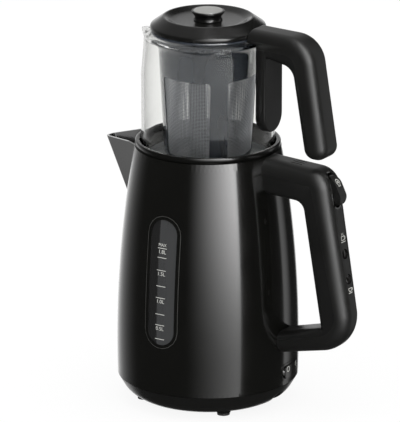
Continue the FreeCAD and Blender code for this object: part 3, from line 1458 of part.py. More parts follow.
def make_lid():
    seat = "pot_rim + lid_gap + filter_flange_height + lid_gap"
    edge = seat + " + lid_edge_height"
    plug = "filter_collar_radius - filter_wall - lid_gap * 2"
    inner_crest = "lid_crest_height - lid_wall"
    dish = "lid_crest_radius - lid_crest_width"
    under = "lid_dish_height - lid_wall"
    node("teapot_lid", turned("teapot_lid", [
        ("knob_screw_radius", under), (dish, under, "lid_dish_round - lid_wall"),
        ("lid_crest_radius", inner_crest, "2 * lid_wall"),
        (plug + " - lid_wall / 2", edge, "lid_wall"),
        (plug + " - lid_wall / 2", "pot_rim - lid_plug_depth"),
        (plug, "pot_rim - lid_plug_depth", "soft_edge / 2"),
        (plug, seat), ("lid_radius", seat, "soft_edge"), ("lid_radius", edge, "lid_wall"),
        ("lid_crest_radius", "lid_crest_height", "lid_wall"),
        (dish, "lid_dish_height", "lid_dish_round"), ("knob_screw_radius", "lid_dish_height")]))
    low = "lid_dish_height"
    cap_foot = "knob_top - knob_cap_thickness"
    node("lid_knob", turned("lid_knob", [
        ("knob_screw_radius", low), ("knob_top_radius - soft_edge", low, "soft_edge"),
        ("knob_neck_radius", low + " + knob_foot_height", "knob_neck_round"),
        ("knob_top_radius", "knob_top - knob_edge_drop"),
        ("knob_top_radius", "knob_top - knob_rim_drop * 2", "soft_edge / 2"),
        ("knob_cap_radius", "knob_top - knob_rim_drop"), ("knob_cap_radius", cap_foot),
        ("knob_screw_radius", cap_foot)]))
    node("lid_knob_cap", turned("lid_knob_cap", [
        ("0", cap_foot), ("knob_cap_radius", cap_foot), ("knob_cap_radius", "knob_top", "soft_edge / 2"),
        ("0", "knob_top")]))
    node("lid_knob_screw", turned("lid_knob_screw", [
        ("0", under + " - screw_head_height"),
        ("knob_screw_radius * 2", under + " - screw_head_height", "soft_edge / 2"),
        ("knob_screw_radius * 2", under), ("knob_screw_radius", under),
        ("knob_screw_radius", cap_foot + " - soft_edge"), ("0", cap_foot + " - soft_edge")]))


make_base()
make_coupling()
make_kettle_body()
make_window()
make_heater()
make_spout_filter()
make_power_switch()
make_handle()
make_steam_lid()
make_teapot()
make_filter()
make_lid()
doc.recompute()

for item in doc.Objects:
    if "Invalid" in item.State or "Error" in item.State:
        raise ValueError("%s has failed: %s" % (item.Name, item.State))
os.makedirs("parts", exist_ok=True)
for item in nodes:
    if item.Shape.isNull() or not item.Shape.isValid() or not item.Shape.Solids:
        raise ValueError("%s has no good solid" % item.Label)
    item.Shape.exportStep("parts/%s.step" % item.Label)
    print("%-24s %d solids, %.0f mm3" % (item.Label, len(item.Shape.Solids), item.Shape.Volume))
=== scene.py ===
import json
import math

import bmesh
import bpy
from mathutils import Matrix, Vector
from mathutils.bvhtree import BVHTree

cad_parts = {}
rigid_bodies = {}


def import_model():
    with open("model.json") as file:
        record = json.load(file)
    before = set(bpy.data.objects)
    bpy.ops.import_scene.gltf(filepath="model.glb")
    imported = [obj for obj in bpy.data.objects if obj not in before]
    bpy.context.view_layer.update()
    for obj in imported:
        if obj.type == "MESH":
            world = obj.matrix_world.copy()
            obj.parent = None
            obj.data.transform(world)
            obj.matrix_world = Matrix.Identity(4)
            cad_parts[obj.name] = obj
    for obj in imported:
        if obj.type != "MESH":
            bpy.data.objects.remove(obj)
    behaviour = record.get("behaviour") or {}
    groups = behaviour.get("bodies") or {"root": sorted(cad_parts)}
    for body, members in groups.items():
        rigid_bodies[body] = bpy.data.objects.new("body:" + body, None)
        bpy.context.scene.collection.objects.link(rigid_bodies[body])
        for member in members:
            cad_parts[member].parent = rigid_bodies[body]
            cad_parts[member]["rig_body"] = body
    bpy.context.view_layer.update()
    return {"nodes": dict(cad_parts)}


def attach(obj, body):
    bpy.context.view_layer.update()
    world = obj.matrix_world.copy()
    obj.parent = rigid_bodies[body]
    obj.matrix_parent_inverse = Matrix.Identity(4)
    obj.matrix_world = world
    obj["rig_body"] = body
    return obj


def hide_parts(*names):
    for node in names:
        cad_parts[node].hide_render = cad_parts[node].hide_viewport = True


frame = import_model()
nodes = frame["nodes"]
mm = 0.001


# Shader sockets that add up like numbers

class Wire:
    def __init__(self, paint, socket):
        self.paint = paint
        self.socket = socket

    def math(self, operation, *values):
        return self.paint.add("ShaderNodeMath", {"operation": operation}, values)

    def __add__(self, other):
        return self.math("ADD", self, other)

    __radd__ = __add__

    def __sub__(self, other):
        return self.math("SUBTRACT", self, other)

    def __rsub__(self, other):
        return self.math("SUBTRACT", other, self)

    def __mul__(self, other):
        return self.math("MULTIPLY", self, other)

    __rmul__ = __mul__

    def power(self, exponent):
        return self.math("POWER", self, exponent)


class Paint:
    # one material with its Principled shader, whose patterns lie on the object's own coordinates
    def __init__(self, name, **settings):
        self.material = bpy.data.materials.new(name)
        self.material.use_nodes = True
        self.tree = self.material.node_tree
        self.shader = self.tree.nodes["Principled BSDF"]
        for socket, value in settings.items():
            self.set(socket.replace("_", " "), value)

    def set(self, name, value):
        if isinstance(value, Wire):
            self.tree.links.new(value.socket, self.shader.inputs[name])
        else:
            self.shader.inputs[name].default_value = value

    def add(self, kind, settings=None, values=(), output=0):
        node = self.tree.nodes.new(kind)
        for name, value in (settings or {}).items():
            setattr(node, name, value)
        pairs = values.items() if isinstance(values, dict) else enumerate(values)
        for key, value in pairs:
            socket = node.inputs[key]
            if isinstance(value, Wire):
                self.tree.links.new(value.socket, socket)
            elif isinstance(value, tuple) and len(value) == 3 and socket.type == "RGBA":
                socket.default_value = (*value, 1)
            else:
                socket.default_value = value
        return Wire(self, node.outputs[output])

    def place(self):
        return self.add("ShaderNodeTexCoord", output=3)  # Object coordinates

    def axes(self):
        split = self.add("ShaderNodeSeparateXYZ", values=[self.place()]).socket.node
        return [Wire(self, socket) for socket in split.outputs]

    def noise(self, scale, detail=4, roughness=0.5, stretch=(1, 1, 1)):
        where = self.add("ShaderNodeMapping", values={"Vector": self.place(), "Scale": stretch})
        return self.add("ShaderNodeTexNoise", values={
            "Vector": where, "Scale": scale, "Detail": detail, "Roughness": roughness})

    def bump(self, height, strength, distance):
        return self.add("ShaderNodeBump", values={
            "Height": height, "Strength": strength, "Distance": distance})

    def blend(self, factor, first, second):
        # 6 and 7 are a Mix node's colour inputs, and 2 is its colour output
        return self.add("ShaderNodeMix", {"data_type": "RGBA"}, {0: factor, 6: first, 7: second}, 2)

    def spread(self, value, low, high):
        # a texture's middle range turned into a range of its own
        return self.add("ShaderNodeMapRange", values=[value, 0.3, 0.7, low, high])


def shades(colour, drift):
    # the darker and the paler end of a colour's drift
    return tuple(c * (1 - drift) for c in colour), tuple(c * (1 + drift) for c in colour)


def moulded(name, colour, roughness, grain=0.0, coat=0.0):
    # moulded plastic: a trace of unevenness in colour and shine, and a grain that may be fine or none
    paint = Paint(name, Coat_Weight=coat, Coat_Roughness=0.05)
    clouds = paint.noise(28, 3)
    fine = paint.noise(1500, 2, 0.6)
    paint.set("Base Color", paint.blend(clouds, *shades(colour, 0.2)))
    paint.set("Roughness", paint.spread(clouds, roughness * 0.88, roughness * 1.12) + fine * grain * 0.1)
    paint.set("Normal", paint.bump(fine + clouds * 0.6, 0.25 + grain, (0.004 + 0.05 * grain) * mm))
    return paint


def metal(name, colour, roughness):
    # bright metal with fine marks all over
    paint = Paint(name, Metallic=1.0)
    marks = paint.noise(900, 3, 0.6)
    clouds = paint.noise(40, 2)
    paint.set("Base Color", paint.blend(marks, tuple(c * 0.82 for c in colour), colour))
    paint.set("Roughness", paint.spread(marks, roughness * 0.8, roughness * 1.3) + clouds * 0.05)
    paint.set("Normal", paint.bump(marks, 0.3, 0.01 * mm))
    return paint


def rubbery(name, colour, roughness=0.75):
    paint = Paint(name)
    dust = paint.noise(220, 4, 0.65)
    fine = paint.noise(2600, 2)
    paint.set("Base Color", paint.blend(dust, tuple(c * 0.8 for c in colour), tuple(c * 1.3 for c in colour)))
    paint.set("Roughness", paint.spread(dust, roughness - 0.08, roughness + 0.08))
    paint.set("Normal", paint.bump(fine, 0.4, 0.02 * mm))
    return paint


def seeThrough(name, colour, alpha, roughness, coat=0.0):
    # tinted clear plastic, with flow marks from its mould
    paint = Paint(name, Coat_Weight=coat, Coat_Roughness=0.04)
    flow = paint.noise(45, 3, 0.5, (1, 1, 0.25))
    paint.set("Base Color", paint.blend(flow, *shades(colour, 0.15)))
    paint.set("Roughness", paint.spread(flow, roughness * 0.8, roughness * 1.2))
    paint.set("Alpha", paint.spread(flow, alpha - 0.02, alpha + 0.02))
    paint.set("Normal", paint.bump(flow, 0.2, 0.02 * mm))
    return paint


def floorAndRim(name, edge):
    # a gloss ring round a paler satin floor, whose pale grey is partly its own tone and partly painted light
    # for what reaches it through the glass pot
    paint = Paint(name)
    x, y, _ = paint.axes()
    square = x * x + y * y
    radius = square.math("SQRT", square)
    ring = paint.add("ShaderNodeMapRange", values=[radius, (edge - 1) * mm, edge * mm])
    clouds = paint.noise(60, 3)
    # partly painted light: the floor is paler than its own grey, standing in for light through the glass pot
    # above it
    floor = paint.blend(clouds, (0.4, 0.42, 0.45), (0.54, 0.57, 0.61))
    paint.set("Base Color", paint.blend(ring, floor, (0.0042, 0.0042, 0.0038)))
    paint.set("Roughness", 0.3 - ring * 0.14 + clouds * 0.04)
    paint.set("Normal", paint.bump(paint.noise(1500, 2, 0.6), 0.25, 0.004 * mm))
    return paint


def windowPane(name, edge):
    # dark smoked plastic, with painted light beyond an edge: the side past it is painted paler, standing in
    # for light that passes behind the pane
    paint = seeThrough(name, (0.006, 0.006, 0.006), 0.9, 0.08)
    litSideMask = paint.add("ShaderNodeMapRange", values=[paint.axes()[0], (edge - 0.6) * mm, (edge + 0.6) * mm])
    flow = paint.noise(45, 3, 0.5, (1, 1, 0.25))
    litSideColour = paint.blend(flow, (0.04, 0.041, 0.042), (0.058, 0.059, 0.06))
    # painted light: beyond the edge the pane takes a paler colour that stands in for light behind it
    paint.set("Base Color", paint.blend(litSideMask, (0.015, 0.015, 0.015), litSideColour))
    return paint


def clearGlass(name, bottom):
    # clear glass whose wall, but not its bottom, darkens towards its outline with painted shade, a dark edge
    # that stands in for dark things seen through it
    paint = Paint(name, IOR=1.16, Transmission_Weight=1.0)
    drawn = paint.noise(30, 2, 0.4, (1, 1, 0.15))
    edge = paint.add("ShaderNodeLayerWeight", output=1)  # Facing
    height = paint.axes()[2]
    wall = paint.add("ShaderNodeMapRange", values=[height, bottom * mm, (bottom + 4) * mm])
    clear = paint.blend(drawn, (0.93, 0.935, 0.92), (0.96, 0.96, 0.95))
    # painted shade: the facing weight darkens the wall's outline
    paint.set("Base Color", paint.blend(edge.power(3.0) * wall, clear, (0.03, 0.03, 0.03)))
    paint.set("Roughness", paint.spread(drawn, 0.0, 0.012))
    paint.set("Normal", paint.bump(drawn, 0.15, 0.03 * mm))
    return paint


steamFloor = 57.6  # radius of the floor inside the steam lid's rim
litSideEdge = -4  # where the painted paler, lit-looking side of the level window starts, across
potBottom = 219  # height of the top of the glass pot's bottom
finishes = {
    "bodyGloss": moulded("bodyGloss", (0.0042, 0.0042, 0.0036), 0.16, coat=0.35),
    "handleSatin": moulded("handleSatin", (0.007, 0.007, 0.0065), 0.4, grain=0.3),
    "coverMatt": moulded("coverMatt", (0.0075, 0.0075, 0.0072), 0.4, grain=0.5),
    "steamLid": floorAndRim("steamLid", steamFloor),
    "lidSatin": moulded("lidSatin", (0.0055, 0.0055, 0.005), 0.22, grain=0.2),
    "baseSatin": moulded("baseSatin", (0.006, 0.006, 0.0055), 0.28, grain=0.2),
    "innerPlastic": moulded("innerPlastic", (0.02, 0.02, 0.021), 0.5, grain=0.7),
    "paleNylon": moulded("paleNylon", (0.62, 0.6, 0.53), 0.5, grain=0.4),
    "whiteNylon": moulded("whiteNylon", (0.72, 0.72, 0.7), 0.45, grain=0.4),
    "boardLacquer": moulded("boardLacquer", (0.03, 0.16, 0.06), 0.3, grain=0.2),
    "lampLens": moulded("lampLens", (0.006, 0.005, 0.005), 0.1, coat=0.5),
    "paleInk": moulded("paleInk", (0.5, 0.5, 0.47), 0.5),
    # a greyish line paint for the painted highlight round the level window's bezel
    "bezelHighlightPaint": moulded("bezelHighlightPaint", (0.05, 0.05, 0.046), 0.5),
    "footRubber": rubbery("footRubber", (0.018, 0.018, 0.018)),
    "wireSleeve": rubbery("wireSleeve", (0.5, 0.5, 0.48), 0.6),
    "silicone": rubbery("silicone", (0.6, 0.6, 0.57), 0.5),
    "darkSilicone": rubbery("darkSilicone", (0.05, 0.05, 0.052), 0.5),
    "platedSteel": metal("platedSteel", (0.62, 0.61, 0.58), 0.3),
    "plateSteel": metal("plateSteel", (0.6, 0.6, 0.6), 0.34),
    "castMetal": metal("castMetal", (0.5, 0.5, 0.5), 0.5),
    "contactBrass": metal("contactBrass", (0.8, 0.62, 0.3), 0.25),
    "wireSteel": metal("wireSteel", (0.36, 0.37, 0.39), 0.35),
    "knobMetal": metal("knobMetal", (0.62, 0.62, 0.6), 0.38),
    "smokeWindow": windowPane("smokeWindow", litSideEdge),
    "smokeFilter": seeThrough("smokeFilter", (0.037, 0.043, 0.053), 0.96, 0.09, 0.7),
    "potGlass": clearGlass("potGlass", potBottom),
}
finishes["coverMatt"].set("Specular IOR Level", 0.28)
print("finishes: %d" % len(finishes))


def finish(piece, name):
    piece.data.materials.clear()
    piece.data.materials.append(finishes[name].material)
    return piece


# Mesh helpers

joinGap = 0.0005  # points that are closer than this are one


def addPiece(name, mesh, finishName, sharp=35):
    # joins the mesh's triangles, shades it smooth up to an angle and puts it in the scene
    shape = bmesh.new()
    shape.from_mesh(mesh)
    bmesh.ops.remove_doubles(shape, verts=shape.verts, dist=joinGap * mm)
    bmesh.ops.dissolve_degenerate(shape, dist=joinGap * mm, edges=shape.edges)
    bmesh.ops.recalc_face_normals(shape, faces=shape.faces)
    shape.to_mesh(mesh)
    shape.free()
    mesh.shade_smooth()
    mesh.set_sharp_from_angle(angle=math.radians(sharp))
    piece = bpy.data.objects.new(name, mesh)
    bpy.context.scene.collection.objects.link(piece)
    return finish(piece, finishName)


def settled(piece):
    # applies the piece's modifiers and leaves a plain mesh
    bpy.context.view_layer.update()
    seen = piece.evaluated_get(bpy.context.evaluated_depsgraph_get())
    mesh = bpy.data.meshes.new_from_object(seen)
    piece.modifiers.clear()
    piece.data = mesh
    return piece


def polished(node, finishName, sharp=30):
    # a copy of a CAD solid with its triangles joined and shaded by angle
    return stands(addPiece(node + "_skin", nodes[node].data.copy(), finishName, sharp), node)


def stands(piece, *hidden):
    # the piece rides with the nodes that it stands for, and hides them
    goesWith(piece, hidden[0])
    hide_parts(*hidden)
    return piece


def goesWith(piece, node):
    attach(piece, nodes[node]["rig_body"])
    return piece


# Thin printed marks and a painted highlight line, drawn flat in millimetres and then laid on a skin

inkDepth = 0.02  # half the thickness of a mark's ink
inkLift = 0.04  # from the skin to the middle of the ink
outside = 30  # how far out of its spot a mark starts on its way to the skin


def strokes(lines, width):
    # a band of an even width along each line
    vertices = []
    faces = []
    for line in lines:
        points = [Vector(line[0])]
        for first, last in zip(line, line[1:]):
            parts = math.ceil((Vector(last) - Vector(first)).length)
            points += [Vector(first).lerp(Vector(last), part / parts) for part in range(1, parts + 1)]
        start = len(vertices)
        for here, point in enumerate(points):
            along = points[min(here + 1, len(points) - 1)] - points[max(here - 1, 0)]
            side = Vector((-along.y, along.x)).normalized() * width / 2
            vertices += [(point.x + way * side.x, point.y + way * side.y, depth)
                         for depth in (-inkDepth, inkDepth) for way in (-1, 1)]
        last = len(vertices) - 4
        for low in range(start, last, 4):
            faces += [(low + a, low + b, low + 4 + b, low + 4 + a)
                      for a, b in ((0, 1), (1, 3), (3, 2), (2, 0))]
        faces += [(start, start + 1, start + 3, start + 2), (last, last + 1, last + 3, last + 2)]
    mesh = bpy.data.meshes.new("strokes")
    mesh.from_pydata(vertices, [], faces)
    return mesh


def arc(x, y, radius, start, end, flat=1.0):
    steps = max(4, int(abs(end - start) / 20))
    angles = [math.radians(start + (end - start) * step / steps) for step in range(steps + 1)]
    return [(x + radius * math.cos(angle), y + radius * flat * math.sin(angle)) for angle in angles]


def figures(text, height):
    curve = bpy.data.curves.new("figures", "FONT")
    curve.body = text
    curve.size = height
    curve.align_x = "CENTER"
    curve.align_y = "CENTER"
    curve.extrude = inkDepth
    holder = bpy.data.objects.new("figures", curve)
    bpy.context.scene.collection.objects.link(holder)
    bpy.context.view_layer.update()
    seen = holder.evaluated_get(bpy.context.evaluated_depsgraph_get())
    mesh = bpy.data.meshes.new_from_object(seen)
    bpy.data.objects.remove(holder)
    return mesh


def printed(name, node, skin, spot, facing, parts, finishName):
    # parts are flat meshes with the (across, up) place of each, laid on the skin around a spot from outside
    facing = Vector(facing).normalized()
    across = Vector((0, 0, 1)).cross(facing).normalized()
    up = facing.cross(across)
    surface = BVHTree.FromPolygons([vertex.co for vertex in skin.data.vertices],
                                   [tuple(face.vertices) for face in skin.data.polygons])
    shape = bmesh.new()
    for mesh, (right, high) in parts:
        done = len(shape.verts)
        shape.from_mesh(mesh)
        shape.verts.ensure_lookup_table()
        for vertex in shape.verts[done:]:
            start = Vector(spot) + across * (vertex.co.x + right) + up * (vertex.co.y + high)
            hit, normal = surface.ray_cast((start + facing * outside) * mm, -facing)[:2]
            vertex.co = hit + normal * (inkLift + vertex.co.z) * mm
    mesh = bpy.data.meshes.new(name)
    shape.to_mesh(mesh)
    shape.free()
    return goesWith(addPiece(name, mesh, finishName), node)


# Power base

polished("base_shell", "baseSatin")
polished("base_bottom_plate", "innerPlastic")
polished("base_connector", "innerPlastic")
polished("connector_sleeve", "innerPlastic")
print("power base done")


# Kettle body

sideBow = {"footRadius": 78.5, "foot": 22.1, "rimRadius": 63.2, "rim": 226.0, "bow": 1005}
levelWindow = {"low": 79.5, "high": 163.5, "edge": 16, "line": 0.4, "proud": -0.3, "sunk": 0.4}
levelScale = {
    "across": -0.8, "width": 9.0, "line": 0.55, "figure": 4.6, "smallFigure": 3.68,
    "ticks": [143.4, 118.4, 93.6, 71.6], "bars": [151.6, 132.3, 108.1, 84.0],
    "figures": {148.4: "1.8L", 129.1: "1.5L", 104.9: "1.0L", 80.8: "0.5L"}, "smallFigures": {154.4: "MAX"},
}


def bowCentre():
    foot = Vector((sideBow["footRadius"], sideBow["foot"]))
    rim = Vector((sideBow["rimRadius"], sideBow["rim"]))
    chord = rim - foot
    inwards = Vector((-chord.y, chord.x)).normalized()
    return (foot + rim) / 2 + inwards * math.sqrt(sideBow["bow"] ** 2 - chord.length_squared / 4)


sideCentre = bowCentre()


def sideRadius(height):
    return sideCentre.x + math.sqrt(sideBow["bow"] ** 2 - (height - sideCentre.y) ** 2)


def shadedSide(piece, inset=0.0):
    # points on the bowed side take the true direction of the side, so that it shines evenly
    tolerance = 0.04
    rimGap = 0.1
    level = 0.9
    directions = []
    for vertex in piece.data.vertices:
        x, y, z = (c / mm for c in vertex.co)
        radius = math.hypot(x, y)
        onSide = sideBow["foot"] + rimGap < z < sideBow["rim"] - rimGap
        onSide = onSide and abs(radius - sideRadius(z) + inset) < tolerance
        slope = Vector((radius - sideCentre.x, z - sideCentre.y)).normalized()
        directions.append(Vector((slope.x * x / radius, slope.x * y / radius, slope.y)) if onSide else None)
    loops = []
    for polygon in piece.data.polygons:
        corners = [directions[vertex] for vertex in polygon.vertices]
        flush = all(corner and corner.dot(polygon.normal) > level for corner in corners)
        loops += corners if flush else [(0, 0, 0)] * len(corners)
    piece.data.normals_split_custom_set(loops)
    return piece


spoutCrease = 12  # degrees, the spout's shallowest corner against the wall
kettleWall = shadedSide(polished("kettle_body_shell", "bodyGloss", spoutCrease))
windowLine = arc(0, levelWindow["high"], levelWindow["edge"], 180, 0)
windowLine += arc(0, levelWindow["low"], levelWindow["edge"], 0, -180) + windowLine[:1]
# a painted highlight round the window bezel, standing in for light caught by its edge
bezelHighlight = [(strokes([windowLine], levelWindow["line"]), (0, 0))]
windowSpot = (0, -60, 0)
windowWay = (0, -1, 0)
printed("painted_bezel_highlight", "kettle_body_shell", kettleWall, windowSpot, windowWay, bezelHighlight, "bezelHighlightPaint")
shadedSide(polished("window_bezel", "bodyGloss"), levelWindow["proud"])
levelPane = shadedSide(polished("level_window", "smokeWindow"), levelWindow["sunk"])
half = levelScale["width"] / 2
levelLine = strokes([[(-half, 0), (half, 0)]], levelScale["line"])
scaleLines = [(levelLine, (levelScale["across"], height))
              for height in levelScale["ticks"] + levelScale["bars"]]
scaleFigures = [(figures(text, size), (levelScale["across"], height))
                for size, texts in ((levelScale["smallFigure"], levelScale["smallFigures"]),
                                    (levelScale["figure"], levelScale["figures"]))
                for height, text in texts.items()]
printed("level_lines", "level_window", levelPane, windowSpot, windowWay, scaleLines, "paleInk")
printed("level_figures", "level_window", levelPane, windowSpot, windowWay, scaleFigures, "paleInk")
polished("plate_seal", "silicone")
polished("heating_plate", "plateSteel")
polished("kettle_bottom_cover", "innerPlastic")
polished("spout_filter_frame", "paleNylon")
print("kettle body done")


# Switches, lamps and handle of the kettle

powerSwitch = {"proud": -0.5, "turn": 7, "out": 60, "height": 33.5, "half": 2.2, "line": 0.7,
               "off": (-8.5, 2.4), "on": (8.5, 2.4)}
shadedSide(polished("power_switch_bezel", "bodyGloss"), powerSwitch["proud"])
powerRocker = polished("power_rocker", "bodyGloss")
switchTurn = math.radians(powerSwitch["turn"])
switchWay = Vector((math.cos(switchTurn), math.sin(switchTurn), 0))
switchSpot = switchWay * powerSwitch["out"] + Vector((0, 0, powerSwitch["height"]))
onMark = strokes([[(0, -powerSwitch["half"]), (0, powerSwitch["half"])]], powerSwitch["line"])
offMark = strokes([arc(0, 0, powerSwitch["half"], 0, 360)], powerSwitch["line"])
printed("switch_marks", "power_rocker", powerRocker, switchSpot, switchWay,
        [(offMark, powerSwitch["off"]), (onMark, powerSwitch["on"])], "paleInk")
handleMarks = {"pot": (136, 0, 164), "cup": (140, 0, 119), "line": 0.6,
               "light": (126, 0, 211), "lightLine": 0.7}
handleShell = polished("handle_outer_shell", "handleSatin")
backWay = (1, 0, 0.17)
potShape = [[(-2.4, 1.2), (-2.4, -2), (2.4, -2), (2.4, 1.2), (-2.4, 1.2)], arc(2.4, -0.4, 1.3, -90, 90),
            [(-3.6, -3.6), (3.6, -3.6)], [(-1, 2.2), (-1, 4)], [(1, 2.2), (1, 4)]]
cupShape = [arc(0, 0.6, 2.6, 180, 360, 1.1) + [(-2.6, 0.6)], arc(2.6, -0.6, 1.1, -90, 90),
            [(-3, -3.4), (3, -3.4)]]
for name, shape in (("pot", potShape), ("cup", cupShape)):
    mark = [(strokes(shape, handleMarks["line"]), (0, 0))]
    printed(name + "_mark", "handle_outer_shell", handleShell, handleMarks[name], backWay, mark, "paleInk")
polished("handle_inner_cover", "coverMatt")
polished("mode_rocker_bezel", "bodyGloss")
modeRocker = polished("mode_rocker", "handleSatin")
lampShape = [arc(0, 0.5, 2.4, -50, 230), arc(0, 0.5, 0.8, 0, 360),
             [(-1.3, -1.4), (-1.3, -3.1), (1.3, -3.1), (1.3, -1.4)]]
rockerWay = (1, 0, 0.3)
lightMark = [(strokes(lampShape, handleMarks["lightLine"]), (0, 0))]
printed("light_mark", "mode_rocker", modeRocker, handleMarks["light"], rockerWay, lightMark, "paleInk")
polished("indicator_lenses", "lampLens")
print("kettle handle done")


# Steam lid, teapot, filter and lid

strainer = {
    "low": 223.0, "high": 291.5, "lowHalf": 20.4, "highHalf": 23.4, "windows": 4,
    "bottom": 218.5, "bottomRadius": 36.5, "top": 320.0, "topRadius": 42.0,
    "pitch": 1.25, "wire": 0.31, "weave": 0.12, "margin": 0.2, "steps": 12,
}


def strainerPoint(height, share, out):
    # a place in a window, by its height, its share of the half width, and how far outwards
    rise = (height - strainer["low"]) / (strainer["high"] - strainer["low"])
    half = strainer["lowHalf"] + (strainer["highHalf"] - strainer["lowHalf"]) * rise
    slope = (strainer["topRadius"] - strainer["bottomRadius"]) / (strainer["top"] - strainer["bottom"])
    radius = strainer["bottomRadius"] + slope * (height - strainer["bottom"]) + out
    angle = share * math.asin(half / radius)
    return (radius * math.cos(angle) * mm, radius * math.sin(angle) * mm, height * mm)


def wireTree():
    # thin tubes along the edges of a mesh, turned round the Z axis as often as asked
    tree = bpy.data.node_groups.new("wireTubes", "GeometryNodeTree")
    sockets = tree.interface
    sockets.new_socket("Geometry", in_out="INPUT", socket_type="NodeSocketGeometry")
    thick = sockets.new_socket("Radius", in_out="INPUT", socket_type="NodeSocketFloat")
    count = sockets.new_socket("Count", in_out="INPUT", socket_type="NodeSocketInt")
    paint = sockets.new_socket("Material", in_out="INPUT", socket_type="NodeSocketMaterial")
    sockets.new_socket("Geometry", in_out="OUTPUT", socket_type="NodeSocketGeometry")

    def add(kind, values=(), output=0, **settings):
        node = tree.nodes.new(kind)
        for name, value in settings.items():
            setattr(node, name, value)
        for socket, value in dict(values).items():
            if isinstance(value, bpy.types.NodeSocket):
                tree.links.new(value, node.inputs[socket])
            else:
                node.inputs[socket].default_value = value
        return node.outputs[output] if node.outputs else node

    given = add("NodeGroupInput").node.outputs
    sides = 5
    ring = add("GeometryNodeCurvePrimitiveCircle", {"Resolution": sides, "Radius": given["Radius"]})
    lines = add("GeometryNodeMeshToCurve", {"Mesh": given["Geometry"]})
    tubes = add("GeometryNodeCurveToMesh", {"Curve": lines, "Profile Curve": ring})
    places = add("GeometryNodeMeshLine", {"Count": given["Count"], "Offset": (0, 0, 0)})
    share = add("ShaderNodeMath", {0: 2 * math.pi, 1: given["Count"]}, operation="DIVIDE")
    angle = add("ShaderNodeMath", {0: add("GeometryNodeInputIndex"), 1: share}, operation="MULTIPLY")
    euler = add("ShaderNodeCombineXYZ", {"Z": angle})
    turn = add("FunctionNodeEulerToRotation", {"Euler": euler})
    copies = add("GeometryNodeInstanceOnPoints", {"Points": places, "Instance": tubes, "Rotation": turn})
    plain = add("GeometryNodeRealizeInstances", {"Geometry": copies})
    painted = add("GeometryNodeSetMaterial", {"Geometry": plain, "Material": given["Material"]})
    add("NodeGroupOutput", {"Geometry": painted})
    return tree, thick.identifier, count.identifier, paint.identifier


def meshWires(name, node, finishName):
    # rows in front of columns, in every window of the strainer
    low, high, pitch, weave = (strainer[key] for key in ("low", "high", "pitch", "weave"))
    vertices = []
    edges = []

    def wire(points):
        edges.extend((len(vertices) + step, len(vertices) + step + 1) for step in range(len(points) - 1))
        vertices.extend(points)

    shares = [2 * step / strainer["steps"] - 1 for step in range(strainer["steps"] + 1)]
    for row in range(int((high - low) / pitch)):
        wire([strainerPoint(low + (row + 0.5) * pitch, share, weave) for share in shares])
    columns = int((strainer["lowHalf"] + strainer["highHalf"]) / pitch)
    ends = (low + strainer["margin"], high - strainer["margin"])
    for column in range(columns):
        share = (column + 0.5) * 2 / columns - 1
        wire([strainerPoint(height, share, -weave) for height in ends])
    mesh = bpy.data.meshes.new(name)
    mesh.from_pydata(vertices, edges, [])
    piece = bpy.data.objects.new(name, mesh)
    bpy.context.scene.collection.objects.link(piece)
    tree, thick, count, paint = wireTree()
    tubes = piece.modifiers.new("tubes", "NODES")
    tubes.node_group = tree
    tubes[thick] = strainer["wire"] * mm
    tubes[count] = strainer["windows"]
    tubes[paint] = finishes[finishName].material
    settled(piece)
    piece.data.shade_smooth()
    return stands(finish(piece, finishName), node)


polished("steam_lid", "steamLid")
polished("steam_lid_seal", "darkSilicone")
polished("teapot_glass", "potGlass")
polished("teapot_handle_shell", "handleSatin")
polished("teapot_handle_cover", "coverMatt")
polished("filter_basket", "smokeFilter")
meshWires("filter_wires", "filter_mesh", "wireSteel")
polished("teapot_lid", "lidSatin")
polished("lid_knob", "lidSatin")
polished("lid_knob_cap", "knobMetal")
print("teapot done")


# Pieces of the CAD model that stay as they are

kept = {
    "base_screws": "platedSteel",
    "base_feet": "footRubber",
    "cord_inlet_gland": "footRubber",
    "base_contact_rings": "contactBrass",
    "base_contact_pin": "contactBrass",
    "heating_element": "castMetal",
    "keep_warm_element": "castMetal",
    "control_unit": "whiteNylon",
    "bimetal_discs": "contactBrass",
    "socket_contacts": "contactBrass",
    "cover_screws": "platedSteel",
    "spout_filter_mesh": "wireSteel",
    "power_switch_body": "whiteNylon",
    "handle_screws": "platedSteel",
    "mode_switch_body": "whiteNylon",
    "led_board": "boardLacquer",
    "wiring_loom": "wireSleeve",
    "teapot_handle_screws": "platedSteel",
    "handle_bonding_pad": "darkSilicone",
    "lid_knob_screw": "platedSteel",
}
for node, finishName in kept.items():
    for slot in nodes[node].material_slots:
        slot.material = finishes[finishName].material
print("kept nodes: %d" % len(kept))


# Studio: a white floor, even light, and soft boxes that only shiny surfaces show

def mirrored(paint):
    # 1 for a ray that a surface reflects, 0 for one that the camera or clear plastic sends
    ray = paint.add("ShaderNodeLightPath").socket.node.outputs
    return Wire(paint, ray["Is Glossy Ray"]) * (1 - Wire(paint, ray["Is Transmission Ray"]))


def layFloor():
    # white paper that shiny surfaces don't show
    selfLit = 0.9
    bpy.ops.mesh.primitive_plane_add(size=40, location=(0, 0, 0))
    floor = bpy.context.object
    floor.name = "floor"
    paint = Paint("floorPaper", Roughness=0.9, Specular_IOR_Level=0.0)
    paint.set("Base Color", paint.blend(paint.noise(4, 2), (0.84, 0.84, 0.84), (0.86, 0.86, 0.86)))
    clear = paint.add("ShaderNodeBsdfTransparent")
    glow = paint.add("ShaderNodeEmission", values={"Color": (1, 1, 1), "Strength": 1.0})
    matt = Wire(paint, paint.shader.outputs[0])
    paper = paint.add("ShaderNodeMixShader", values=[selfLit, matt, glow])
    both = paint.add("ShaderNodeMixShader", values=[mirrored(paint), paper, clear])
    output = paint.tree.nodes["Material Output"]
    paint.tree.links.new(both.socket, output.inputs["Surface"])
    floor.data.materials.append(paint.material)


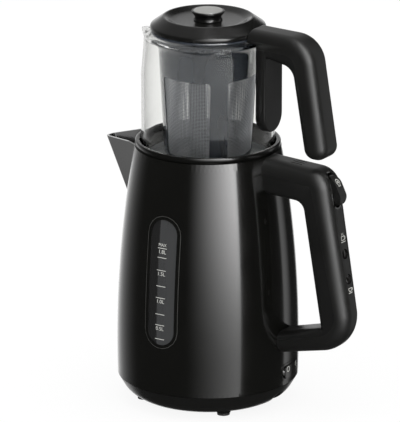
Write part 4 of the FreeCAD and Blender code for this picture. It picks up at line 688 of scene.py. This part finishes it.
class Sky(Paint):
    # what surrounds the object, painted by direction
    def __init__(self, front):
        world = bpy.data.worlds.new("studio")
        bpy.context.scene.world = world
        world.use_nodes = True
        self.tree = world.node_tree
        self.shader = self.tree.nodes["Background"]
        split = self.add("ShaderNodeSeparateXYZ", values=[self.add("ShaderNodeTexCoord")]).socket.node
        x, y, z = [Wire(self, socket) for socket in split.outputs]
        ahead = x * math.cos(front) + y * math.sin(front)
        aside = y * math.cos(front) - x * math.sin(front)
        self.around = aside.math("ARCTAN2", aside, ahead) * (180 / math.pi)
        self.rise = z.math("ARCSINE", z) * (180 / math.pi)

    def slope(self, value, low, high, start=0.0, end=1.0, smooth=True):
        kind = "SMOOTHSTEP" if smooth else "LINEAR"
        return self.add("ShaderNodeMapRange", {"interpolation_type": kind}, [value, low, high, start, end])

    def panel(self, left, leftEdge, right, rightEdge):
        # 1 between two directions, with a soft edge of its own width at each
        return (self.slope(self.around, left - leftEdge, left)
                * self.slope(self.around, right, right + rightEdge, 1.0, 0.0))


# directions in degrees round the object from the camera's side, and up; strengths where white is 1
softBoxes = {
    "front": -58.5, "fade": 1.6, "dark": 0.02,
    "broad": (-29, 41), "broadEnd": (41.5, 43), "broadStrength": 1.5, "broadLow": 1.3, "broadHigh": 6.1,
    "broadRise": (-19, 4),
    "strip": (111, 114, 134), "stripStrength": 0.8,
    "back": (-100, -178), "backPanel": (170, 12, 182, 4), "backPanelStrength": 0.7,
    "backLow": 1.5, "backLoss": 0.8, "backRise": (0, 14),
    "roof": (38, 70), "roofStrength": 0.22,
    "floorEdge": (-42, -29), "evenLight": 1.22, "seen": 1.0,
}


def paintSky():
    boxes = softBoxes
    sky = Sky(math.radians(boxes["front"]))
    ramp = sky.slope(sky.around, *boxes["broad"], smooth=False)
    broad = ramp.power(boxes["fade"]) * boxes["broadStrength"]
    broad = broad * sky.slope(sky.around, *boxes["broadEnd"], 1.0, 0.0)
    broad = broad * (boxes["broadLow"] + sky.slope(sky.rise, *boxes["broadRise"]) * boxes["broadHigh"])
    left, middle, right = boxes["strip"]
    strip = sky.slope(sky.around, left, middle) * sky.slope(sky.around, middle, right, 1.0, 0.0)
    farSide = sky.slope(sky.around, *boxes["back"], smooth=False)
    back = farSide.power(boxes["fade"]) + sky.panel(*boxes["backPanel"]) * boxes["backPanelStrength"]
    back = back * (boxes["backLow"] - sky.slope(sky.rise, *boxes["backRise"]) * boxes["backLoss"])
    roof = sky.slope(sky.rise, *boxes["roof"]) * boxes["roofStrength"]
    walls = (broad + strip * boxes["stripStrength"] + back) * sky.slope(sky.rise, *boxes["floorEdge"])
    shiny = boxes["dark"] + walls + roof
    ray = sky.add("ShaderNodeLightPath").socket.node.outputs
    seen = Wire(sky, ray["Is Camera Ray"]) + Wire(sky, ray["Is Transmission Ray"])
    plain = boxes["evenLight"] - seen * (boxes["evenLight"] - boxes["seen"])
    sky.set("Color", plain + mirrored(sky) * (shiny - plain))


def key(name, place, target, size, energy):
    light = bpy.data.lights.new(name, "AREA")
    light.shape = "RECTANGLE"
    light.size = size[0]
    light.size_y = size[1]
    light.energy = energy
    lamp = bpy.data.objects.new(name, light)
    lamp.location = place
    lamp.rotation_euler = (Vector(place) - Vector(target)).to_track_quat("Z", "Y").to_euler()
    bpy.context.scene.collection.objects.link(lamp)
    lamp.visible_glossy = False
    lamp.visible_camera = False


view = {"turn": 31.5, "tilt": 17.2, "left": 6.9, "height": 165.8, "distance": 4.5, "lens": 445.3}


def aimCamera():
    turn = math.radians(view["turn"])
    tilt = math.radians(view["tilt"])
    shape = bpy.data.cameras.new("camera")
    shape.sensor_fit = "VERTICAL"
    shape.sensor_height = 36
    shape.lens = view["lens"]
    shape.clip_end = 100
    camera = bpy.data.objects.new("camera", shape)
    target = Vector((-view["left"] * math.cos(turn), -view["left"] * math.sin(turn), view["height"])) * mm
    away = Vector((math.sin(turn) * math.cos(tilt), -math.cos(turn) * math.cos(tilt), math.sin(tilt)))
    camera.location = target + away * view["distance"]
    camera.rotation_euler = (math.pi / 2 - tilt, 0, turn)
    bpy.context.scene.collection.objects.link(camera)
    bpy.context.scene.camera = camera


layFloor()
paintSky()
overhead = {"place": (0.3, -0.4, 1.8), "target": (0, 0, 0.2), "size": (1.2, 1.2), "energy": 6}
key("overhead", **overhead)
aimCamera()
bpy.context.scene.view_settings.view_transform = "Standard"
print("studio done")
